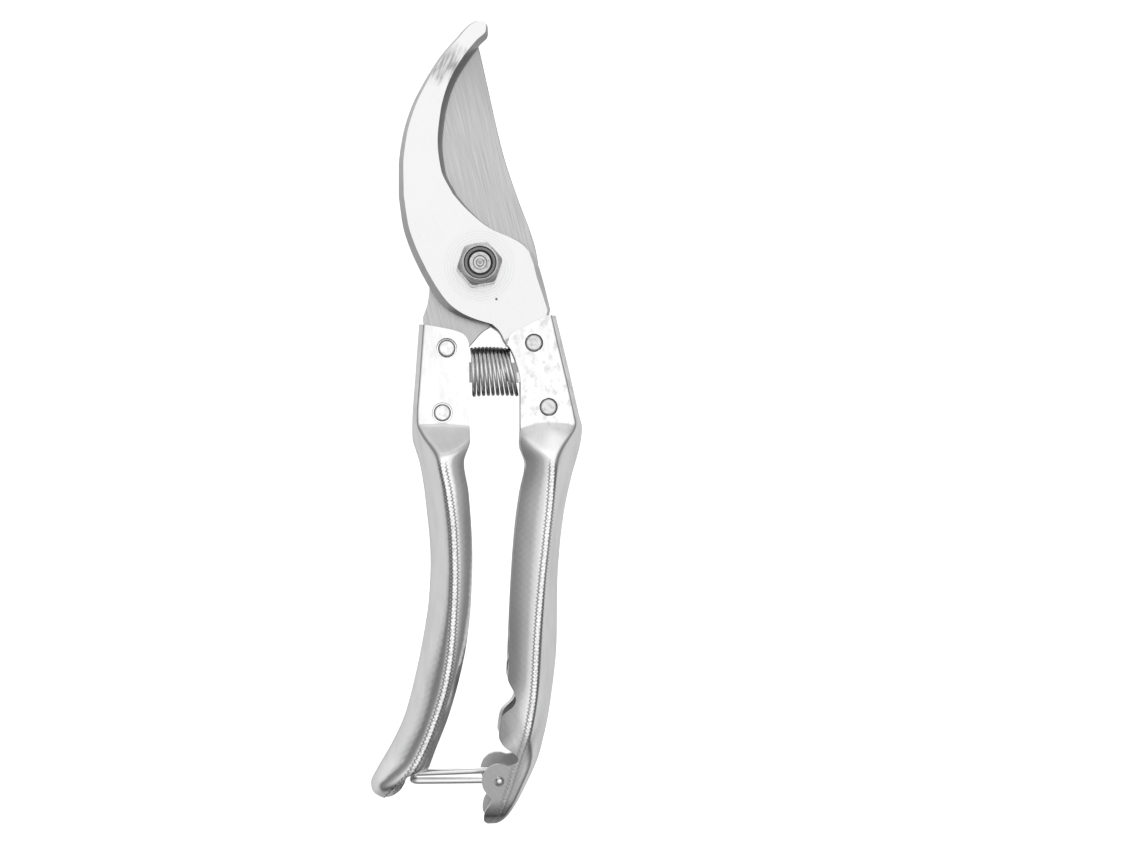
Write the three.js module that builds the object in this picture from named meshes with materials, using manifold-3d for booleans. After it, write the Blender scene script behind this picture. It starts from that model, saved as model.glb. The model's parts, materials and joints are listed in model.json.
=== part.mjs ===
// Bypass pruning shears with pressed-steel handles, closed and held by a wire catch.
//
// The shears lie flat. The pivot's axis points up (+Z) and the tips point along +Y.
// Everything is drawn round the pivot, with z = 0 on the plane where the two blades meet:
// the counter blade (the hook) lies above that plane, and the cutting blade below it.
// The last lines lift the finished group so that its origin is the middle of its underside.

import * as THREE from 'three';
import { mergeVertices } from 'three/addons/utils/BufferGeometryUtils.js';
import Module from 'manifold-3d';

const wasm = await Module();
wasm.setup();

// ---------------------------------------------------------------- driving dimensions, mm

const BLADE_REACH = 60.6; // from the pivot to the tip of the hook
const GRIP_LENGTH = 91.6; // from the end of the riveted flats to the tip of the blade handle
const GRIP_DEPTH = 16; // thickness of a grip, across the blades' plane
const GRIP_OFFSET = 1; // each grip's middle plane stands this far from the blades' plane

const SHEET = 1.2; // the handles' sheet steel
const HOOK_THICKNESS = 4;
const BLADE_THICKNESS = 3.2;
const CLEARANCE = 0.3; // between any two pieces

const FLAT_LENGTH = 40; // from the pivot to the end of the riveted flats, where the grips open
const FLARE_LENGTH = 8.5; // length over which a flat opens into a grip
const MOUTH_GAP = 6.4; // between the two wall edges of a grip, on its open side

const BOLT_DIAMETER = 5.8; // the threaded end, M6
const SHANK_DIAMETER = 8;
const SHANK_FLATS = 6.4; // across the two flats that key the bolt to the cutting blade
const HEAD_DIAMETER = 12.4;
const HEAD_HEIGHT = 3.3;
const NUT_ACROSS_FLATS = 10;
const NUT_HEX_HEIGHT = 6;
const COLLAR_HEIGHT = 2; // the round collar on the hexagon, which holds the locking ring
const COLLAR_WALL = 0.45;
const INSERT_WALL = 0.7;
const THREAD_GAP = 0.15; // the insert's clearance from the bolt and from the collar
const NUT_TURN = THREE.MathUtils.degToRad(11); // how far the nut's corners are turned

const RIVET_DIAMETER = 4.3;
const BLADE_RIVET_SUNK = 0.3; // the blade handle's rivets end below its face

const SPRING_DIAMETER = 12.4; // outside the wire
const SPRING_WIRE = 0.9;
const SPRING_TURNS = 9.5;
const NUB_WIDTH = 4.6; // each tang has a nub that stands inside the spring
const NUB_LENGTH = 3;
const NUB_ROOM = 0.55; // between a nub and the inside of the coils

const CATCH_WIRE = 1.6;
const CATCH_PLAY = 0.35; // between the catch's wire and its holes
const CROSSBAR_LENGTH = 9; // between the catch's two legs
const EAR_RADIUS = 4.3;
const EAR_X = 4.8; // the catch's hinge line
const EAR_SETBACK = 5.5; // from the level of the blade handle's tip up to the hinge line

// ---------------------------------------------------------------- heights above the blades' plane

const hookUnder = CLEARANCE / 2;
const hookTop = hookUnder + HOOK_THICKNESS;
const bladeTop = -CLEARANCE / 2;
const bladeUnder = bladeTop - BLADE_THICKNESS;

// ---------------------------------------------------------------- distances behind the pivot

const flatEnd = -FLAT_LENGTH;
const crotchY = -20.2; // where the cutting blade's outline goes into its handle
const springY = crotchY + 0.5 - CLEARANCE - SPRING_DIAMETER / 2;

/** The y that lies this fraction of the flats' length behind the pivot. */
const inFlat = (fraction) => -fraction * FLAT_LENGTH;

/** The y that lies this fraction of the grip's length behind the riveted flats. */
const inGrip = (fraction) => flatEnd - fraction * GRIP_LENGTH;

const earY = inGrip(1) + EAR_SETBACK;
const mouthY = earY + CATCH_WIRE / 2 + 0.12; // the wall that the catch's crossbar stands under

// ---------------------------------------------------------------- materials

const steel = (color, roughness) =>
  new THREE.MeshStandardMaterial({ color, roughness, metalness: 1 });

const MATERIALS = {
  hook: steel(0xe8e9ea, 0.35),
  blade: steel(0xb9bcbf, 0.45),
  handle: steel(0xc9ccce, 0.22),
  fastener: steel(0xd2d4d6, 0.2),
  spring: steel(0x4a4b4d, 0.3),
  nylon: new THREE.MeshStandardMaterial({ color: 0x26282a, roughness: 0.6, metalness: 0 }),
};

// ---------------------------------------------------------------- solids

/** A merged, watertight solid of a closed three.js geometry. */
function solid(geometry) {
  const bare = geometry.clone();
  bare.deleteAttribute('normal');
  bare.deleteAttribute('uv');
  const merged = mergeVertices(bare, 1e-5);
  return new wasm.Manifold(new wasm.Mesh({
    numProp: 3,
    vertProperties: new Float32Array(merged.attributes.position.array),
    triVerts: new Uint32Array(merged.index.array),
  }));
}

/** A named mesh of a solid. */
function piece(name, body, material) {
  const { vertProperties, triVerts } = body.getMesh();
  const geometry = new THREE.BufferGeometry();
  geometry.setAttribute('position', new THREE.BufferAttribute(vertProperties, 3));
  geometry.setIndex(new THREE.BufferAttribute(triVerts, 1));
  geometry.computeVertexNormals();
  const mesh = new THREE.Mesh(geometry, material);
  mesh.name = name;
  return mesh;
}

/**
 * A skin over rings of points, closed at both ends. The rings run counter-clockwise round the
 * direction they are stacked in, and `flatten` lays an end ring out as a flat outline.
 */
function loft(rings, flatten) {
  const count = rings[0].length;
  const index = [];
  for (let k = 0; k + 1 < rings.length; k += 1) {
    for (let i = 0; i < count; i += 1) {
      const here = k * count + i;
      const next = k * count + ((i + 1) % count);
      index.push(here, next, next + count, here, next + count, here + count);
    }
  }
  const cap = (k, outward) => {
    for (const [a, b, c] of THREE.ShapeUtils.triangulateShape(rings[k].map(flatten), [])) {
      const [p, q, r] = [a, b, c].map((i) => i + k * count);
      index.push(p, outward ? q : r, outward ? r : q);
    }
  };
  cap(0, false);
  cap(rings.length - 1, true);
  const geometry = new THREE.BufferGeometry().setFromPoints(rings.flat());
  geometry.setIndex(index);
  return solid(geometry);
}

/** A flat outline standing straight up from z = low to z = high. */
function prism(outline, low, high) {
  const shape = new THREE.Shape(outline);
  const geometry = new THREE.ExtrudeGeometry(shape, { depth: high - low, bevelEnabled: false });
  return solid(geometry.translate(0, 0, low));
}

/** A body turned round a vertical line through (x, y): its profile holds [radius, z] pairs. */
function turned(profile, x = 0, y = 0, sides = 32) {
  const points = profile.map(([radius, z]) => new THREE.Vector2(radius, z));
  const geometry = new THREE.LatheGeometry(points, sides);
  geometry.rotateX(Math.PI / 2);
  return solid(geometry.translate(x, y, 0));
}

const THROUGH = 30; // half the height of a cutter that goes through everything

/** A round pin or hole cutter. */
function drum(radius, low, high, x = 0, y = 0, sides = 32) {
  return turned([[0, low], [radius, low], [radius, high], [0, high]], x, y, sides);
}

// ---------------------------------------------------------------- outlines

const at = (x, y) => new THREE.Vector2(x, y);

/** Points of a smooth line through the given ones. */
const smooth = (points, steps) => new THREE.SplineCurve(points).getPoints(steps);

/** Points of a round stretch, with its angles in degrees. */
function arc(centre, radius, from, to, steps) {
  const [start, end] = [from, to].map(THREE.MathUtils.degToRad);
  const curve = new THREE.EllipseCurve(centre.x, centre.y, radius, radius, start, end, end < start);
  return curve.getPoints(steps);
}

/**
 * A value along y through the [y, value] pairs given from the highest y to the lowest. The line
 * is smooth and never swings past its points.
 */
function along(pairs) {
  const last = pairs.length - 1;
  const rise = pairs.slice(1).map(([y, v], i) => (v - pairs[i][1]) / (y - pairs[i][0]));
  const slope = (i) => {
    const [before, after] = [rise[Math.max(i - 1, 0)], rise[Math.min(i, last - 1)]];
    return before * after > 0 ? (2 * before * after) / (before + after) : 0;
  };
  return (y) => {
    if (y >= pairs[0][0]) return pairs[0][1];
    if (y <= pairs[last][0]) return pairs[last][1];
    const k = pairs.findIndex(([edge]) => y > edge);
    const [ya, va] = pairs[k - 1];
    const [yb, vb] = pairs[k];
    const span = yb - ya;
    const t = (y - ya) / span;
    const leave = slope(k - 1) * t * (1 - t) ** 2;
    const arrive = slope(k) * t * t * (t - 1);
    return va + (vb - va) * t * t * (3 - 2 * t) + span * (leave + arrive);
  };
}

// ---------------------------------------------------------------- blades

const DRAWN_REACH = 60.6; // the blades' outlines below are drawn for this reach
const CUTTING_EDGE = 0.3; // the land left along the cutting blade's edge
const HOOK_EDGE = 0.5; // and along the hook's

/** A point of a blade's outline: what lies ahead of the pivot follows the reach. */
const onBlade = (x, y) => at(x, y > 0 ? (y * BLADE_REACH) / DRAWN_REACH : y);

/**
 * A plate whose edges slope. Each stretch is { points, inset, drop }: the far face is pulled in
 * by `inset`, and the slope starts `drop` away from it. Both may be a [start, end] pair.
 */
function slopedPlate(stretches, near, far) {
  const span = (value, t) => (Array.isArray(value) ? value[0] + (value[1] - value[0]) * t : value);
  const nodes = stretches.flatMap(({ points, inset, drop }) => points.map((point, i) => {
    const t = points.length > 1 ? i / (points.length - 1) : 0;
    return { point, inset: span(inset, t), drop: span(drop, t) };
  }));
  const upward = Math.sign(far - near);
  const inward = (i) => {
    const before = nodes[(i + nodes.length - 1) % nodes.length].point;
    const after = nodes[(i + 1) % nodes.length].point;
    const run = after.clone().sub(before).normalize();
    return at(-run.y, run.x);
  };
  const ring = (height, pulled) => nodes.map((node, i) => {
    const p = node.point.clone().addScaledVector(inward(i), pulled ? node.inset : 0);
    return new THREE.Vector3(p.x, p.y, height(node));
  });
  const rings = [
    ring(() => near, false),
    ring((node) => far - upward * node.drop, false),
    ring(() => far, true),
  ];
  return loft(upward > 0 ? rings : rings.reverse(), (p) => at(p.x, p.y));
}

/** The hook: it bears the branch, and its ground edge passes over the cutting blade. */
function counterBlade(tang, cutters) {
  const tip = onBlade(-0.2, 58.1);
  const outer = smooth([
    onBlade(-2.1, 59.9), onBlade(-9.5, 51.6), onBlade(-16.7, 39), onBlade(-19.8, 24),
    onBlade(-18.8, 9.9), at(-14.3, -1.6), at(-8.9, -9.7),
  ], 26);
  const heel = smooth([
    at(-5.6, -12), at(-1.8, -13.5), at(2.3, -14.6), at(4.9, -16.5), at(6.1, crotchY + 1.4),
  ], 9);
  const neck = smooth([
    at(17.3, -11.9), at(17.6, -10.6), at(17.1, -8.6), at(14.6, 0.5), at(13, 3.6), at(10.8, 5.5),
  ], 10);
  const edge = smooth([
    onBlade(8.4, 6.9), onBlade(3.2, 9.2), onBlade(-1.9, 13.6), onBlade(-5.5, 17.8),
    onBlade(-8.3, 23.6), onBlade(-9.1, 30.4), onBlade(-8.4, 37.6), onBlade(-5.6, 46.5),
    onBlade(0.2, 55.2),
  ], 26);
  const stretches = [
    { points: arc(tip, 2.5, -20, 125, 8), inset: [1, 0.4], drop: [2.6, 1] },
    { points: outer.slice(1), inset: [0.5, 1.5], drop: [1, 1.6] },
    { points: heel, inset: [1.4, 0.8], drop: 1.6 },
    { points: tang, inset: 0, drop: 1 },
    { points: neck, inset: [0.7, 0.6], drop: 1.2 },
    { points: edge.slice(0, 8), inset: [0.1, 1], drop: [1, HOOK_THICKNESS - HOOK_EDGE] },
    { points: edge.slice(8), inset: [1.1, 1.2], drop: HOOK_THICKNESS - HOOK_EDGE },
  ];
  const plate = slopedPlate(stretches, hookUnder, hookTop);
  return cutters.reduce((body, cutter) => body.subtract(cutter), plate);
}

/** The cutting blade: flat where it meets the hook, hollow-ground underneath. */
function cuttingBlade(tang, cutters) {
  const back = [onBlade(1.6, 47.5), onBlade(5.9, 28.8), onBlade(9.2, 18.6), onBlade(12.4, 10.2)];
  const boss = arc(at(0, 0), 14.8, 10, -76, 12);
  const crotch = smooth([at(1, -16), at(-1.2, -18.4), at(-2.4, crotchY)], 4);
  const shoulder = smooth([at(-13.9, -12.4), at(-12.7, -8.8), at(-12.3, -5.4), at(-13.2, -1)], 8);
  const edge = smooth([
    onBlade(-13.6, 7.6), onBlade(-14.6, 16), onBlade(-14.3, 26), onBlade(-12.3, 36),
    onBlade(-8.6, 45), onBlade(-3.9, 52.8), onBlade(-0.9, 57),
  ], 20);
  const stretches = [
    { points: back, inset: 0.3, drop: 0.5 },
    { points: boss, inset: 0.3, drop: 0.5 },
    { points: crotch, inset: 0.2, drop: 0.5 },
    { points: tang, inset: 0, drop: 0.5 },
    { points: shoulder, inset: 0.3, drop: 0.5 },
    { points: edge.slice(0, 12), inset: [0.4, 2.6], drop: BLADE_THICKNESS - CUTTING_EDGE },
    { points: edge.slice(12), inset: [2.6, 0.05], drop: BLADE_THICKNESS - CUTTING_EDGE },
  ].reverse().map((stretch) => ({
    points: [...stretch.points].reverse(),
    inset: Array.isArray(stretch.inset) ? [...stretch.inset].reverse() : stretch.inset,
    drop: stretch.drop,
  }));
  const plate = slopedPlate(stretches, bladeTop, bladeUnder);
  return cutters.reduce((body, cutter) => body.subtract(cutter), plate);
}

// ---------------------------------------------------------------- handles

/** A plan line through [fraction, value] pairs, first those of the flat and then the grip's. */
const line = (flatPairs, gripPairs) => along([
  ...flatPairs.map(([f, v]) => [inFlat(f), v]),
  ...gripPairs.map(([f, v]) => [inGrip(f), v]),
]);

const FOLD_ROOM = 0.9; // the folded back is round inside, so a tang stays this far out of it
const TANG_MARGIN = SHEET + CLEARANCE + FOLD_ROOM; // from a handle's back to the tang inside it
const TANG_SETBACK = 0.8; // from a handle's wall edges to the tang's edge
const FLARE = FLARE_LENGTH / GRIP_LENGTH;
const MOUTH = MOUTH_GAP / 2 + SHEET; // outer half width of the open side
const BOXY = 6; // the power of a flat's back, as tight as folded sheet
const ROUND = 1.5; // the power of a grip's back

/**
 * One handle. `back`, `ridge` and `edge` are its plan lines: the folded back, the crest of the
 * grip and the edge of its open side. `depth` and `lip` are half thicknesses at the crest and at
 * the open edge, `middle` is the height they are measured from, and `square` is how boxy the
 * folded back is. `end` is the fraction of the grip's length where the handle ends.
 */
function handlePlan({ side, tangMiddle, tangThickness, flat, grip, end }) {
  const folded = tangThickness / 2 + CLEARANCE + SHEET;
  const full = GRIP_DEPTH / 2;
  const opening = (from, to, rest = []) => line([[1, from]], [[FLARE, to], ...rest]);
  return {
    side,
    folded,
    tangMiddle,
    end,
    tip: inGrip(end),
    back: line(flat.back, grip.back),
    ridge: line(flat.ridge, grip.ridge),
    edge: line(flat.edge, grip.edge),
    middle: opening(tangMiddle, side * GRIP_OFFSET),
    depth: opening(folded, full, grip.dome.map(([f, share]) => [f, share * full])),
    lip: opening(folded, MOUTH, grip.lip),
    square: opening(BOXY, ROUND, grip.square),
  };
}

const bladeHandle = handlePlan({
  side: -1,
  tangMiddle: (bladeTop + bladeUnder) / 2,
  tangThickness: BLADE_THICKNESS,
  end: 1,
  flat: {
    back: [[0.325, -14.8], [0.675, -15.8], [1, -16.6]],
    ridge: [[0.325, -7.6], [0.505, -8], [0.905, -9.1], [1, -9.3]],
    edge: [[0.325, -2.5], [1, -2.3]],
  },
  grip: {
    back: [[0.03, -16.5], [0.06, -15.7], [0.095, -14.7], [0.19, -13.3], [0.365, -12],
      [0.46, -12.4], [0.57, -13.9], [0.675, -15.9], [0.78, -18.5], [0.86, -21.9],
      [0.923, -25.3], [0.96, -26.8], [0.984, -26.3], [1, -24]],
    ridge: [[0.085, -9.4], [0.17, -8], [0.285, -6.7], [0.39, -6.4], [0.565, -7.1], [0.67, -8.4],
      [0.8, -12], [0.91, -16.7], [0.97, -21.4], [1, -23.6]],
    edge: [[0.033, -2.2], [0.091, -3.8], [0.176, -2.6], [0.35, -1.7], [0.455, -2], [0.567, -3],
      [0.671, -4.9], [0.777, -7.7], [0.855, -10.5], [0.918, -12.8], [0.95, -16.8], [0.98, -20], [1, -23.2]],
    dome: [[0.9, 1], [0.95, 0.86], [0.98, 0.6], [0.994, 0.36], [1, 0.12]],
    lip: [[0.9, MOUTH], [1, MOUTH]],
    square: [[0.9, 1.6], [0.97, 2]],
  },
});

const hookHandle = handlePlan({
  side: 1,
  tangMiddle: (hookTop + hookUnder) / 2,
  tangThickness: HOOK_THICKNESS,
  end: 1.07,
  flat: {
    back: [[0.3, 19], [0.662, 22.5], [0.915, 24.8], [1, 25.6]],
    ridge: [[0.3, 12.4], [0.475, 13.4], [0.87, 17], [1, 17.8]],
    edge: [[0.4, 6.6], [0.46, 7.3], [0.585, 8.9], [0.71, 10.1], [1, 10.1]],
  },
  grip: {
    back: [[0.04, 25.2], [0.136, 22.9], [0.23, 21.1], [0.33, 20], [0.416, 19.5], [0.576, 19.3],
      [0.7375, 17.8], [0.862, 15.5], [0.9525, 11.9], [1.027, 8.1], [1.06, 5.4], [1.07, 3.3]],
    ridge: [[0.077, 18.2], [0.174, 17.8], [0.295, 16.7], [0.407, 15.6], [0.564, 14.4], [0.697, 13.7],
      [0.803, 12.2], [0.8826, 9.8], [0.96, 7.5], [1.03, 5], [1.07, 2.9]],
    edge: [[0.045, 10], [0.099, 11.5], [0.172, 10.2], [0.246, 9.2], [0.328, 8.5], [0.43, 7.9],
      [0.57, 7.3], [0.672, 6.9], [0.742, 5], [0.8, 4], [0.83, 2.8], [0.873, -0.2], [0.97, -0.4],
      [1.03, 0.4], [1.07, 2.5]],
    dome: [[0.99, 1], [1.03, 0.9], [1.055, 0.62], [1.066, 0.35], [1.07, 0.12]],
    lip: [[0.78, MOUTH], [0.87, GRIP_DEPTH / 2 - 0.1], [1.06, GRIP_DEPTH / 2 - 0.1]],
    square: [[0.86, 1.6], [0.93, 3.5], [1.07, 3]],
  },
});

const BACK_STEPS = 6; // facets from the back to the ridge
const FLANK_STEPS = 4; // facets from the ridge to the open edge
const FLANK_POWER = 1.6; // how full the flank is
const LIP_SHARE = 0.98; // the open edge lies at least this little below the crest

/**
 * A handle's section at y, pulled in by `skin`: from the back a superellipse quarter rises to the
 * ridge, and a second one falls from the ridge to the open edge. The underside mirrors it.
 */
function section(plan, y, skin, shift = 0) {
  const names = ['back', 'ridge', 'edge', 'depth', 'lip', 'square', 'middle'];
  const values = names.map((name) => plan[name](y - shift));
  const [back, ridge, edge, depth, lip, square, middle] = values;
  const high = depth - skin;
  const low = Math.min(lip - skin, high * LIP_SHARE);
  const backRun = Math.abs(ridge - back) - skin;
  const edgeRun = Math.abs(edge - ridge) - skin;
  const corner = (turn, power) => turn ** (2 / power);
  const upper = [];
  for (let i = 0; i <= BACK_STEPS; i += 1) {
    const angle = (Math.PI / 2) * (i / BACK_STEPS);
    const x = ridge + plan.side * backRun * corner(Math.cos(angle), square);
    upper.push([x, high * corner(Math.sin(angle), square)]);
  }
  for (let i = 1; i <= FLANK_STEPS; i += 1) {
    const angle = (Math.PI / 2) * (i / FLANK_STEPS);
    const x = ridge - plan.side * edgeRun * corner(Math.sin(angle), FLANK_POWER);
    upper.push([x, low + (high - low) * corner(Math.cos(angle), FLANK_POWER)]);
  }
  const lower = upper.slice(1).reverse().map(([x, z]) => [x, -z]);
  const ring = [...upper, ...lower].map(([x, z]) => new THREE.Vector3(x, y, middle + z));
  return plan.side > 0 ? ring : ring.reverse();
}

/** The y of every section, from the top of the flat to the tip, closer together where it turns. */
function stations(plan) {
  const flat = [0.275, 0.45, 0.6, 0.75, 0.9, 1];
  const flare = [0.2, 0.5, 0.75, 1].map((share) => share * FLARE);
  const grip = [0.14, 0.2, 0.28, 0.37, 0.46, 0.56, 0.65, 0.73, 0.8, 0.86, 0.91];
  const dome = [0.1, 0.068, 0.045, 0.028, 0.014, 0.005, 0].map((short) => plan.end - short);
  const straight = grip.filter((f) => f < dome[0] - 0.02);
  return [...flat.map(inFlat), ...[...flare, ...straight, ...dome].map(inGrip)];
}

const TIP_WALL = 2.2 * SHEET; // the hollow ends this far from the handle's tip
const TIP_CLOSING = [2, 12]; // over this stretch from the tip the hollow leaves its end wall
const PAST = 1; // a cutter reaches this far past what it cuts

const flatten = (p) => at(p.x, p.z);

/** The room inside a handle's sheet steel, open at its upper end. */
function hollow(plan, rows) {
  const [near, far] = TIP_CLOSING.map((run) => -plan.tip - run);
  const inTip = (y) => THREE.MathUtils.smoothstep(-y, far, near);
  return loft(rows.map((y, k) => {
    const ring = section(plan, y, SHEET, SHEET * inTip(y));
    return k === 0 ? ring.map((p) => p.setY(y + PAST)) : ring;
  }), flatten);
}

/** What opens a handle's hollow on the side that faces the other handle. */
function openSide(plan, rows) {
  return loft(rows.map((y, k) => {
    const half = plan.lip(y) - SHEET;
    const [left, right] = [plan.ridge(y), plan.edge(y) - 6 * plan.side].sort((a, b) => a - b);
    const [low, high] = [plan.middle(y) - half, plan.middle(y) + half];
    const height = k === 0 ? y + PAST : y;
    return [[left, low], [right, low], [right, high], [left, high]]
      .map(([x, z]) => new THREE.Vector3(x, height, z));
  }), flatten);
}

/** The pressed-steel channel: its outer skin, less its hollow and its open side. */
function channel(plan, trims, rivets) {
  const rows = stations(plan);
  const room = rows.filter((y) => y > plan.tip + TIP_WALL);
  const skin = loft(rows.map((y) => section(plan, y, 0)), flatten);
  const cuts = [
    hollow(plan, room),
    openSide(plan, room),
    ...trims.map((outline) => prism(outline, -THROUGH, THROUGH)),
    ...rivets.map(({ hole }) => hole),
  ];
  return cuts.reduce((body, cut) => body.subtract(cut), skin);
}

/** What is cut from the blade handle: its slanted upper end, and the mouth that the catch holds. */
function bladeHandleTrims() {
  const top = [at(-19, -13.7), at(-14.7, -14.2), at(-6.9, -15.6), at(-4.6, -16.3)];
  const corner = smooth([at(-3.6, -16.9), at(-2.9, -17.9), at(-2.3, -19.6)], 4);
  const mouth = (x, dy) => at(x, mouthY + dy);
  return [
    [...top, ...corner, at(0, -19.6), at(0, -8), at(-19, -8)],
    [mouth(-6, 1), mouth(-12.6, 1), mouth(-16.6, 0.3), mouth(-17.8, -0.1), mouth(-18.3, -1.6),
      mouth(-19.4, -3.6), mouth(-21.6, -5.6), mouth(-21.6, -12), mouth(-6, -12)],
  ];
}

/** What is cut from the hook handle: its upper end, the catch's rest, and all round the ears. */
function hookHandleTrims() {
  const shoulder = smooth([at(6.9, -19.6), at(7.2, -17.9), at(8.1, -16.6), at(10.9, -15.2)], 6);
  const top = [at(14.7, -13.2), at(17.2, -12.2), at(21, -12.1), at(21, -5), at(4, -5), at(4, -19.6)];
  const ear = (dx, dy) => at(EAR_X + dx, earY + dy);
  const rest = smooth([ear(2.1, 24.5), ear(3.5, 21.5), ear(4.1, 19.6), ear(3.5, 18.1), ear(0.8, 15.5)], 10);
  const lobe = smooth([ear(0.3, 14), ear(-0.1, 10.6), ear(0.8, 8.7), ear(3.1, 7)], 6);
  const throat = smooth([ear(4.3, 6.1), ear(4.7, 5), ear(3.9, 4), ear(2.3, 3.6)], 5);
  const lug = arc(ear(0, 0), EAR_RADIUS, 64, 226, 14);
  const foot = [ear(-1.9, -4.5), ear(-3.6, -7.9), ear(-3.9, -9.8), ear(-3.9, -16)];
  return [
    [...shoulder, ...top],
    [ear(2.4, 30), ...rest, ...lobe, ...throat, ...lug, ...foot, ear(-16, -16), ear(-16, 30)],
  ];
}

// ---------------------------------------------------------------- rivets and tangs

const RIVET_SIDES = 24;

/** A rivet on the middle line of a handle's flat, with the hole it stands in. */
function rivet(plan, y, sunk = 0) {
  const x = plan.ridge(y);
  const half = plan.folded - sunk;
  const radius = RIVET_DIAMETER / 2;
  return {
    pin: drum(radius, plan.tangMiddle - half, plan.tangMiddle + half, x, y, RIVET_SIDES),
    hole: drum(radius + CLEARANCE, -THROUGH, THROUGH, x, y, RIVET_SIDES),
  };
}

const TANG_SHORT = 0.6; // a tang stops this far before its flat does

/** A tang's outline: down beside the open edge with its nub, across, and up beside the back. */
function tangOutline(plan, innerTop, outerTop) {
  const inner = (y) => plan.edge(y) + plan.side * TANG_SETBACK;
  const outer = (y) => plan.back(y) - plan.side * TANG_MARGIN;
  const nub = (y) => plan.edge(y) - plan.side * NUB_LENGTH;
  const [high, low] = [springY + NUB_WIDTH / 2, springY - NUB_WIDTH / 2];
  const end = flatEnd + TANG_SHORT;
  return [
    at(inner(innerTop), innerTop), at(inner(high), high), at(nub(high), high),
    at(nub(low), low), at(inner(low), low), at(inner(end), end), at(outer(end), end),
    at(outer(inFlat(0.68)), inFlat(0.68)), at(outer(outerTop), outerTop),
  ];
}

/** What is cut from a tang's nub so that it fits inside the spring's coils. */
function nubTrim(plan) {
  const [near, far] = [plan.edge(springY), plan.edge(springY) - plan.side * (NUB_LENGTH + PAST)];
  const half = NUB_WIDTH / 2 + PAST;
  const [left, right] = [near, far].sort((a, b) => a - b);
  const [low, high] = [springY - half, springY + half];
  const corners = [at(left, low), at(right, low), at(right, high), at(left, high)];
  const slab = prism(corners, -THROUGH, THROUGH);
  const inside = drum(SPRING_DIAMETER / 2 - SPRING_WIRE - NUB_ROOM, -THROUGH, THROUGH);
  return slab.subtract(inside.rotate([0, 90, 0]).translate([0, springY, 0]));
}

// ---------------------------------------------------------------- pivot

/** A round bar's section with two flats, `grow` larger all round. */
function keyedOutline(grow) {
  const radius = SHANK_DIAMETER / 2 + grow;
  const half = SHANK_FLATS / 2 + grow;
  const angle = THREE.MathUtils.radToDeg(Math.asin(half / radius));
  const right = arc(at(0, 0), radius, -angle, angle, 8);
  const left = arc(at(0, 0), radius, 180 - angle, 180 + angle, 8);
  return [...right, ...left];
}

const HEAD_RIM = 0.2; // the share of the bolt head's height that stands straight
const BOLT_BEVEL = 0.7;

/** The bolt: a low domed head under the cutting blade, a keyed shank and a threaded end. */
function pivotBolt(boltEnd) {
  const face = bladeUnder - CLEARANCE;
  const radius = HEAD_DIAMETER / 2;
  const rim = face - HEAD_RIM * HEAD_HEIGHT;
  const dome = arc(at(0, 0), 1, -90, 0, 6)
    .map((p) => [p.x * radius, rim + p.y * (1 - HEAD_RIM) * HEAD_HEIGHT]);
  const head = turned([...dome, [radius, face], [0, face]]);
  const shank = prism(keyedOutline(0), face - PAST, hookTop);
  const thread = BOLT_DIAMETER / 2;
  const root = hookTop - PAST;
  const end = turned([
    [0, root], [thread, root], [thread, boltEnd - BOLT_BEVEL], [thread - BOLT_BEVEL, boltEnd],
    [0, boltEnd],
  ]);
  return head.add(shank).add(end);
}

const NUT_BEVEL = [0.7, 0.45]; // how far the nut's corners are turned down, and how high
const INSERT_REACH = [0.3, 0.25]; // the insert's clearance below and above, inside the collar

/** The radius inside the nut's collar, round the insert that grips the thread. */
const collarBore = () => BOLT_DIAMETER / 2 + INSERT_WALL + 2 * THREAD_GAP;

/** The lock nut: a hexagon with turned-down corners, and a round collar on it. */
function pivotNut(nutUnder) {
  const hexTop = nutUnder + NUT_HEX_HEIGHT;
  const top = hexTop + COLLAR_HEIGHT;
  const corner = NUT_ACROSS_FLATS / Math.sqrt(3);
  const hexagon = arc(at(0, 0), corner, 0, 300, 5).map((p) => p.rotateAround(at(0, 0), NUT_TURN));
  const [run, rise] = NUT_BEVEL;
  const rounding = turned([
    [0, nutUnder], [corner - run, nutUnder], [corner, nutUnder + rise],
    [corner, hexTop - rise], [corner - run, hexTop], [0, hexTop],
  ], 0, 0, 48);
  const hex = prism(hexagon, nutUnder, hexTop).intersect(rounding);
  const radius = collarBore() + COLLAR_WALL;
  const collar = turned([
    [0, hexTop - PAST], [radius, hexTop - PAST], [radius, top - rise], [radius - rise, top], [0, top],
  ]);
  const bore = drum(BOLT_DIAMETER / 2 + CLEARANCE, -THROUGH, THROUGH);
  const seat = drum(collarBore(), hexTop, THROUGH);
  return hex.add(collar).subtract(bore).subtract(seat);
}

/** The nylon ring in the nut's collar, which grips the thread. */
function nutInsert(nutUnder) {
  const low = nutUnder + NUT_HEX_HEIGHT + INSERT_REACH[0];
  const high = nutUnder + NUT_HEX_HEIGHT + COLLAR_HEIGHT - INSERT_REACH[1];
  const inner = BOLT_DIAMETER / 2 + THREAD_GAP;
  const outer = inner + INSERT_WALL;
  return turned([[inner, low], [outer, low], [outer, high], [inner, high], [inner, low]]);
}

// ---------------------------------------------------------------- spring and catch

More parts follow.
